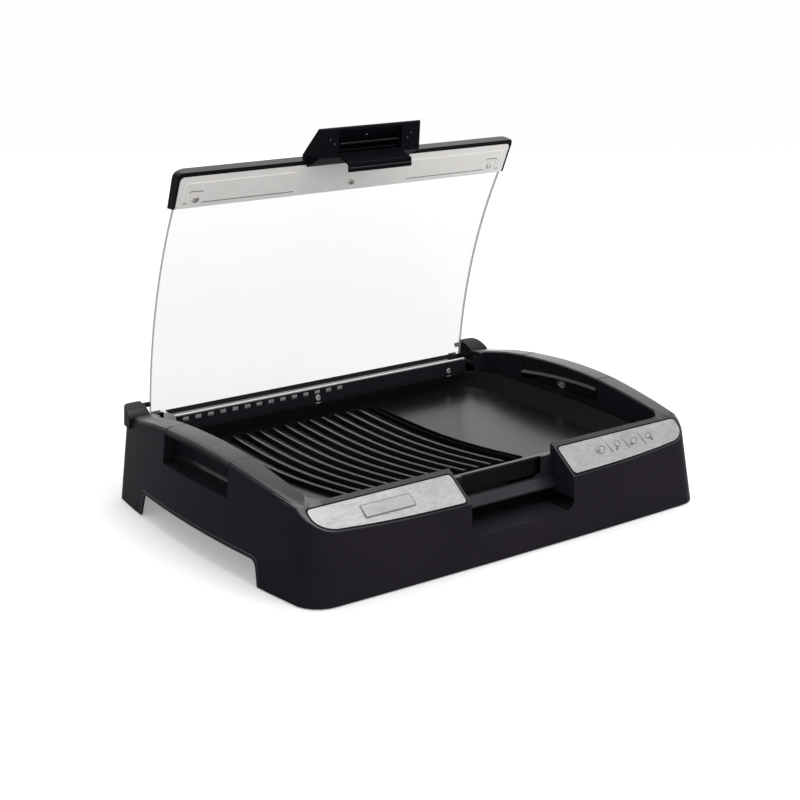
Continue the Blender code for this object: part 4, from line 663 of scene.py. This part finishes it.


# Speckled front of the pan behind the notch, and a wall behind the mouth in painted shade
def build_recess_pieces():
    apron = block("pan_apron", (0.1280, 0.0014, 0.0178))
    round_edges(apron, lambda a, b: abs(a.y - b.y) < 1e-6 and a.z > 0.0, 0.0005, 2)
    mount(apron, "base", "pan_coating", (0.0, PAN_FRONT - 0.0009, PAN_RIM - 0.0098), math.radians(-5.0),
          finish=SPECKLE)
    # The baffle takes the near-black finish as painted shade
    baffle = block("mouth_baffle", (0.0980, 0.0012, 0.0200))
    round_edges(baffle, upright, 0.0004, 2)
    mount(baffle, "base", "housing_plastic", (0.0, WELL_FRONT + 0.0010, 0.0420), finish=SHADE)


# Screw head with a cross recess, modelled once and set in place of every seen screw
def build_screws():
    radius, height, rounding = 0.0035, 0.0016, 0.0007
    slot_length, slot_width, slot_depth = 0.0048, 0.0013, 0.0022
    deselect()
    bpy.ops.mesh.primitive_cylinder_add(vertices=28, radius=radius, depth=height)
    head = bpy.context.object
    round_edges(head, level_at(height / 2.0), rounding, 3)
    for size in ((slot_length, slot_width, slot_depth), (slot_width, slot_length, slot_depth)):
        tool = block("cross_tool", size)
        tool.location = (0.0, 0.0, height / 2.0)
        settle(tool)
        cut(head, tool)
    for node, body, tilt, spin, slot in (
            ("strip_screw_left", "lid", FACE_LEAN, 20.0, "screw_steel"),
            ("strip_screw_centre", "lid", FACE_LEAN, 52.0, "screw_steel"),
            ("strip_screw_right", "lid", FACE_LEAN, 75.0, "screw_steel"),
            ("wall_screw_left", "base", 0.0, 35.0, "screw_steel"),
            ("wall_screw_right", "base", 0.0, 10.0, "screw_steel")):
        low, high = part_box(node)
        copy = twin(head, node + "_head")
        mount(copy, body, slot, (low + high) / 2.0, math.pi / 2.0 + tilt, math.radians(spin), (node,))
    small, flat = 0.42, 0.6
    for side, sign in SIDES:
        node = "handle_screw_" + side
        low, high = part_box(node)
        middle = (low + high) / 2.0
        for k, (along, up) in enumerate(((0.0, 0.0), (0.0052 * sign, 0.0048))):
            copy = twin(head, "handle_screw_head_%s_%d" % (side, k))
            pick_all(copy)
            bpy.ops.transform.resize(value=(small, small, flat))
            object_mode()
            mount(copy, "lid", "screw_black", middle + Vector((along, -0.0001, up)), math.pi / 2.0, 0.6,
                  (node,) if k == 0 else ())
    bpy.data.objects.remove(head, do_unlink=True)


# Panels pressed into the strip, each with an arch round the outer screw; painted shade and painted highlight
# on their edges
def build_strip_panels():
    depth, edge, corner, sunk = 0.0005, 0.0008, 0.0022, 0.00005
    aside, near, largest_edge = 10.0, 1e-3, 0.0005
    inner, arch_from, arch_to, outer = 0.0745, 0.1880, 0.2035, 0.2100
    low, shelf, high = 0.0055, 0.0195, 0.0300
    deselect()
    bpy.ops.mesh.primitive_grid_add(x_subdivisions=3, y_subdivisions=2, size=1.0)
    panel = bpy.context.object
    panel.name = "strip_panel_right"
    for axis, stations in ((0, (inner, arch_from, arch_to, outer)), (1, (low, shelf, high))):
        olds = sorted({round(v.co[axis], 4) for v in panel.data.vertices})
        # Each line of the grid moves aside first, so that it isn't taken for the next one
        for old, new in zip(olds, stations):
            shift = [0.0, 0.0, 0.0]
            shift[axis] = new - old + aside
            move_picked(panel, lambda co: abs(co[axis] - old) < near, shift)
        shift = [0.0, 0.0, 0.0]
        shift[axis] = -aside
        move_picked(panel, lambda co: True, shift)
    pick(panel, "FACE", lambda centre, normal: arch_from < centre.x < arch_to and centre.y < shelf)
    bpy.ops.mesh.delete(type="FACE")
    object_mode()
    pick_all(panel)
    bpy.ops.mesh.extrude_region_move(TRANSFORM_OT_translate={"value": (0.0, 0.0, depth)})
    bpy.ops.mesh.select_all(action="SELECT")
    bpy.ops.mesh.normals_make_consistent(inside=False)
    bpy.ops.mesh.dissolve_limited(angle_limit=math.radians(1.0))
    object_mode()
    round_edges(panel, upright, corner, 4)
    pick(panel, "FACE", lambda centre, normal: normal.z > 0.9)
    bpy.ops.mesh.inset(thickness=edge, depth=0.0)
    object_mode()
    left = mirror_twin(panel, "strip_panel_left")
    up = Vector((0.0, -math.sin(FACE_LEAN), math.cos(FACE_LEAN)))
    foot = Vector(on_face(0.0, 0.0))
    for piece in (panel, left):
        mount(piece, "lid", "strip_steel", on_face(0.0, 0.0, -sunk), math.pi / 2.0 + FACE_LEAN)
        piece.data.materials.append(SHADED_EDGE)
        piece.data.materials.append(LIT_EDGE)
        for face in piece.data.polygons:
            height, side = (face.center - foot).dot(up), abs(face.center.x)
            arch_top = arch_from - edge < side < arch_to + edge and abs(height - shelf) < 0.0012
            # Narrow edge faces: painted shade low and on the arch's top, painted highlight elsewhere
            if face.area < largest_edge:
                face.material_index = 1 if height < low + edge * 1.5 or arch_top else 2


# Low bare plaque on the left plate, its sunk border line darker as painted shade
def build_plaque():
    length, width, height, border, line = 0.0590, 0.0150, 0.0007, 0.0009, 0.0003
    plaque = block("plate_plaque", (length, width, height))
    round_edges(plaque, upright, 0.0012, 3)
    pick(plaque, "FACE", lambda centre, normal: normal.z > 0.9)
    bpy.ops.mesh.inset(thickness=border, depth=0.0)
    bpy.ops.mesh.inset(thickness=line, depth=-line)
    object_mode()
    round_edges(plaque, level_at(height / 2.0), line / 2.0, 2)
    mount(plaque, "base", "brushed_plate", on_plate(-0.1560, -0.0015, 0.0005), SLOPE, finish=PLAQUE)
    plaque.data.materials.append(PLAQUE_LINE)
    outward = Vector((0.0, -math.sin(SLOPE), math.cos(SLOPE)))
    # The sunk border line's faces take the darker tone, painted shade
    largest_line = 0.0001
    for face in plaque.data.polygons:
        if face.area < largest_line and face.normal.dot(outward) > 0.9:
            face.material_index = 1


# Four outline food signs and the lines between them, etched into the right plate
def build_signs():
    wire, proud = 0.00034, 0.0003

    def ring(points, name):
        deselect()
        bpy.ops.mesh.primitive_circle_add(vertices=len(points), radius=1.0)
        obj = bpy.context.object
        obj.name = name
        for k, (x, y) in enumerate(points):
            start = obj.data.vertices[k].co.copy()
            pick(obj, "VERT", lambda co: (co - start).length < 1e-5)
            bpy.ops.transform.translate(value=(x - start.x, y - start.y, 0.0))
            object_mode()
        return bead(obj, wire)

    def oval(rx, ry, turn=0.0, dent=0.0, count=18, cx=0.0, cy=0.0):
        dent_at = 1.2
        points = []
        for k in range(count):
            a = 2.0 * math.pi * k / count
            r = 1.0 - dent * max(0.0, math.cos(a - dent_at)) ** 3
            x, y = rx * r * math.cos(a), ry * r * math.sin(a)
            points.append((cx + x * math.cos(turn) - y * math.sin(turn),
                           cy + x * math.sin(turn) + y * math.cos(turn)))
        return points

    signs = {
        "steak": (oval(0.0068, 0.0048, 0.3, 0.35),
                  oval(0.0018, 0.0014, 0.0, 0.0, 10, -0.0026, -0.0008)),
        "drumstick": (oval(0.0046, 0.0034, 0.9, 0.0, 16, 0.0012, 0.0018),
                      oval(0.0032, 0.0009, 0.9, 0.0, 10, -0.0024, -0.0034)),
        "fish": (oval(0.0054, 0.0028, 0.5, 0.0, 16, 0.0006, 0.0004),
                 oval(0.0020, 0.0018, 0.0, 0.6, 10, -0.0052, -0.0028)),
        "mushroom": (oval(0.0048, 0.0030, 0.5, 0.0, 16, 0.0, 0.0016),
                     oval(0.0012, 0.0028, 0.5, 0.0, 10, 0.0012, -0.0022)),
    }
    for (name, rings), x in zip(signs.items(), (0.1206, 0.1450, 0.1690, 0.1922)):
        for k, points in enumerate(rings):
            mount(ring(points, "sign_%s_%d" % (name, k)), "base", "brushed_plate",
                  on_plate(x, 0.0003, proud), SLOPE, finish=ETCH)
    for k, x in enumerate((0.1334, 0.1573, 0.1815)):
        line = rod("sign_line_%d" % k, 0.00032, 0.0150, 8)
        line.matrix_world = Matrix.Rotation(QUARTER_TURN, 4, "X")
        settle(line)
        mount(line, "base", "brushed_plate", on_plate(x, 0.0008, proud), SLOPE, 0.12, finish=ETCH)


# Raised double bead that stiffens the edge of each side arch, lighter than the housing as a painted highlight
def build_arch_beads():
    # The housing's outer side: its half width, its lean over the height and its bow
    half_width, lean, rim_height, bow, half_depth, near = 0.2690, 0.0105, 0.1135, 0.0145, 0.1990, 0.0006
    front, rear, arch_top, ground = -0.120, 0.135, 0.0265, 0.0015
    rise, inwards, spread = 0.0030, 0.0002, 0.0024

    def outer(a):
        half = half_width - lean * a.z / rim_height
        return abs(abs(a.x) - (half - bow * (a.y / half_depth) ** 2)) < near

    def on_arch(a, b, sign):
        along = all(outer(p) and p.x * sign > 0.2 and front < p.y < rear and p.z < arch_top for p in (a, b))
        return along and (a.z > ground or b.z > ground)

    for side, sign in SIDES:
        source = copy_of("base_housing", "arch_source")
        pick(source, "EDGE", lambda a, b: on_arch(a, b, sign))
        bpy.ops.mesh.duplicate()
        bpy.ops.mesh.separate(type="SELECTED")
        object_mode()
        chain = [o for o in bpy.context.selected_objects if o is not source][0]
        bpy.data.objects.remove(source, do_unlink=True)
        chain.name = "arch_bead_" + side
        inner = twin(chain, "arch_bead_inner_" + side)
        move_picked(inner, lambda co: True, (-sign * inwards, 0.0, rise))
        move_picked(inner, lambda co: co.z < 0.0055, (0.0, 0.0, -rise))
        move_picked(inner, lambda co: co.y < -0.0900, (0.0, -spread, 0.0))
        move_picked(inner, lambda co: co.y > 0.1180, (0.0, spread, 0.0))
        for chain_piece, radius in ((chain, 0.0009), (inner, 0.0007)):
            chain_piece = bead(chain_piece, radius)
            move_picked(chain_piece, lambda co: True, (sign * (0.0001 - radius), 0.0, 0.0))
            mount(chain_piece, "base", "housing_plastic", finish=BEAD)


# Round wire loop of the latch that lies across the handle's pocket
def build_latch():
    length, width, corner, wire, turn = 0.0780, 0.0084, 0.0022, 0.0012, 118.0
    pivot_x, pivot_shift, loop_shift = 0.0394, (-0.0006, -0.0022), 0.0015
    low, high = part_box("handle_latch")
    deselect()
    bpy.ops.mesh.primitive_plane_add(size=1.0)
    loop = bpy.context.object
    loop.name = "latch_loop"
    pick_all(loop)
    bpy.ops.transform.resize(value=(length, width, 1.0))
    bpy.ops.mesh.delete(type="ONLY_FACE")
    object_mode()
    pick_all(loop, "VERT")
    bpy.ops.mesh.bevel(offset=corner, segments=4, affect="VERTICES")
    object_mode()
    loop = bead(loop, wire)
    middle = (low + high) / 2.0
    mount(loop, "lid", "handle_plastic", middle + Vector((loop_shift, *pivot_shift)), math.radians(turn),
          nodes=("handle_latch",))
    for side, sign in SIDES:
        pin = rod("latch_pivot_" + side, 0.0015, 0.0030, 12)
        pin.matrix_world = Matrix.Rotation(QUARTER_TURN, 4, "Y")
        settle(pin)
        mount(pin, "lid", "handle_plastic", middle + Vector((sign * pivot_x, *pivot_shift)))


# Rolled edge under the handle's lip and the small steel piece in the pocket
def build_handle_details():
    low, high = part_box("handle_tray")
    radius, end_gap = 0.0022, 0.0004
    roll = rod("tray_roll", radius, high.x - low.x - end_gap, 20)
    roll.matrix_world = Matrix.Rotation(QUARTER_TURN, 4, "Y")
    settle(roll)
    mount(roll, "lid", "handle_plastic", (0.0, low.y + 0.0010, low.z + 0.0030))
    catch = rod("pocket_catch", 0.0007, 0.0052, 10)
    mount(catch, "lid", "screw_steel", (-0.0015, 0.0745, 0.3930), math.radians(55.0), 0.4)


# Matt dark band on the rear lip, in front of the glass's foot, and a light line that is a painted highlight
def build_lip_channel():
    length, rounding, proud = 0.4040, 0.0002, 0.0001
    band_height, line_height = 0.0006, 0.0005
    channel = block("lip_channel", (length, 0.0150, band_height))
    round_edges(channel, upright, 0.0030, 4)
    round_edges(channel, level_at(band_height / 2.0), rounding, 2)
    mount(channel, "base", "cover_plastic", (0.0, 0.1720, LIP_TOP + proud))
    # The light line is a painted highlight
    line = block("lip_line", (length, 0.0026, line_height))
    round_edges(line, level_at(line_height / 2.0), rounding, 2)
    mount(line, "base", "housing_plastic", (0.0, 0.1560, LIP_TOP + proud), finish=LIT_EDGE)


# Dark seat round each plate, a little wider than the plate: painted shade of the groove round the plate
def build_plate_seats():
    wider, sunk = 0.0028, 0.0003
    for side, _ in SIDES:
        seat_ring = copy_of("trim_plate_" + side, "plate_seat_" + side)
        low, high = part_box("trim_plate_" + side)
        middle = (low + high) / 2.0
        width, depth = high.x - low.x, high.y - low.y
        pick_all(seat_ring, "VERT")
        across, along = (depth + wider) / depth, (width + wider) / width
        bpy.ops.transform.resize(value=(along, across, across), center_override=middle)
        bpy.ops.transform.translate(value=(0.0, sunk * math.sin(SLOPE), -sunk * math.cos(SLOPE)))
        object_mode()
        # The ring takes the near-black finish as painted shade
        mount(seat_ring, "base", "housing_plastic", finish=SHADE)


# Bent clip and two coils seen under the right grip
def build_grip_clip():
    coil_wire, coil_lean, coil_place = 0.0006, 80.0, (0.2340, 0.0100, 0.0890)
    clip = block("grip_clip", (0.0008, 0.0050, 0.0050))
    pick(clip, "FACE", lambda centre, normal: normal.z > 0.9)
    bpy.ops.mesh.extrude_region_move(TRANSFORM_OT_translate={"value": (0.0022, 0.0, 0.0014)})
    bpy.ops.mesh.extrude_region_move(TRANSFORM_OT_translate={"value": (0.0026, 0.0, -0.0012)})
    object_mode()
    round_edges(clip, lambda a, b: True, 0.0003, 2)
    mount(clip, "base", "tray_steel", (0.2345, 0.0110, 0.0885))
    for k, (along, size) in enumerate(((0.0, 0.0042), (0.0045, 0.0030))):
        deselect()
        bpy.ops.mesh.primitive_circle_add(vertices=20, radius=size)
        coil = bpy.context.object
        coil.name = "grip_coil_%d" % k
        coil.matrix_world = Matrix.Rotation(math.radians(coil_lean), 4, "Y")
        settle(coil)
        x, y, z = coil_place
        mount(bead(coil, coil_wire), "base", "clip_steel", (x, y + along, z))


def build_pieces():
    build_housing()
    build_handle()
    build_pan()
    for side, _ in SIDES:
        build_horn(side)
        build_grip(side)
        build_arm(side)
    for node, name, body, width in (
            ("trim_plate_left", "plate_left", "base", 0.0003),
            ("trim_plate_right", "plate_right", "base", 0.0003),
            ("lid_frame", "frame_moulding", "lid", 0.0010),
            ("lid_strip", "strip_sheet", "lid", 0.0002)):
        dress(node, name, body, width)
    dress("handle_tray", "handle_lip", "lid", 0.0005).data.materials[0] = LIP
    glass = dress("lid_glass", "glass_sheet", "lid", 0.0)
    glass.data.materials.append(EDGE)
    for face in glass.data.polygons:
        if abs(face.normal.x) > 0.5 or face.normal.z < -0.7:
            face.material_index = 1
    build_scoops()
    build_recess_pieces()
    build_screws()
    build_strip_panels()
    build_plaque()
    build_signs()
    build_arch_beads()
    build_latch()
    build_handle_details()
    build_lip_channel()
    build_plate_seats()
    build_grip_clip()


def add_camera():
    cam = bpy.data.cameras.new("photo_camera")
    cam.lens = CAMERA_LENS
    cam.sensor_width = CAMERA_SENSOR
    obj = bpy.data.objects.new("photo_camera", cam)
    bpy.context.scene.collection.objects.link(obj)
    obj.location = CAMERA_PLACE
    obj.rotation_euler = [math.radians(a) for a in CAMERA_TURN]
    bpy.context.scene.camera = obj


def add_lamp(name, place, target, size, power):
    lamp = bpy.data.lights.new(name, "AREA")
    lamp.shape = "RECTANGLE"
    lamp.size, lamp.size_y = size
    lamp.energy = power
    obj = bpy.data.objects.new(name, lamp)
    bpy.context.scene.collection.objects.link(obj)
    obj.location = place
    obj.rotation_euler = (Vector(target) - Vector(place)).to_track_quat("-Z", "Y").to_euler()


# White to the camera, through glass and in reflections, softer as a light on the object
def add_world():
    world = bpy.data.worlds.new("studio_world")
    bpy.context.scene.world = world
    world.use_nodes = True
    tree = world.node_tree
    path = tree.nodes.new("ShaderNodeLightPath")
    mix = tree.nodes.new("ShaderNodeMix")
    mix.data_type = "RGBA"
    mix.inputs[MIX_A].default_value = (0.50, 0.50, 0.51, 1.0)
    mix.inputs[MIX_B].default_value = (1.0, 1.0, 1.0, 1.0)
    seen = path.outputs["Is Camera Ray"]
    for ray in ("Is Transmission Ray", "Is Glossy Ray"):
        either = tree.nodes.new("ShaderNodeMath")
        either.operation = "MAXIMUM"
        tree.links.new(seen, either.inputs[0])
        tree.links.new(path.outputs[ray], either.inputs[1])
        seen = either.outputs[0]
    tree.links.new(seen, mix.inputs[0])
    tree.links.new(mix.outputs[MIX_COLOUR_OUT], tree.nodes["Background"].inputs["Color"])


# Pale floor that keeps the shadow. It glows a little for the camera, for glass and for
# reflections, and more with the distance, so that it runs into the white background
def add_floor():
    size, below, near, far, near_glow, far_glow = 12.0, 0.0002, 0.9, 2.6, 0.30, 0.60
    deselect()
    bpy.ops.mesh.primitive_plane_add(size=size, location=(0.0, 0.0, -below))
    floor = settle(bpy.context.object)
    floor.name = "studio_floor"
    p = Paint("studio_white")
    grain = p.noise(0.4, 2.0)
    p.set(Base_Color=p.tint(grain, (0.90, 0.90, 0.90), (0.92, 0.92, 0.92)), Roughness=0.9)
    away = p.node("ShaderNodeVectorMath", {"operation": "LENGTH"}, {0: p.place()}, output="Value")
    reach = p.map(away, near, far, near_glow, far_glow)
    straight = p.node("ShaderNodeLightPath", output="Is Camera Ray")
    through = p.node("ShaderNodeLightPath", output="Is Transmission Ray")
    mirrored = p.node("ShaderNodeLightPath", output="Is Glossy Ray")
    glow = (straight + through + mirrored) * reach
    p.set(Emission_Color=p.tint(glow, (0.0, 0.0, 0.0), (1.0, 1.0, 1.0)), Emission_Strength=1.0)
    floor.data.materials.append(p.material)


# Tall white card behind the grill, which the upward faces reflect
def add_backdrop():
    place, width, height, turn = (1.5, 2.4, 0.75), 6.0, 1.9, math.radians(-36.4)
    deselect()
    bpy.ops.mesh.primitive_plane_add(size=1.0, location=place, rotation=(QUARTER_TURN, 0.0, turn))
    card = bpy.context.object
    card.scale = (width, height, 1.0)
    settle(card)
    card.name = "studio_card"
    p = Paint("card_white")
    p.set(Base_Color=(0.0, 0.0, 0.0, 1.0), Specular_IOR_Level=0.0, Emission_Strength=1.0,
          Emission_Color=p.tint(p.noise(1.5, 1.0), (0.99, 0.99, 0.99), (1.0, 1.0, 1.0)))
    card.data.materials.append(p.material)


def main():
    add_camera()
    add_world()
    add_floor()
    add_backdrop()
    for lamp in LAMPS:
        add_lamp(*lamp)
    bpy.context.scene.view_settings.view_transform = "Standard"
    paint_nodes()
    build_pieces()


main()
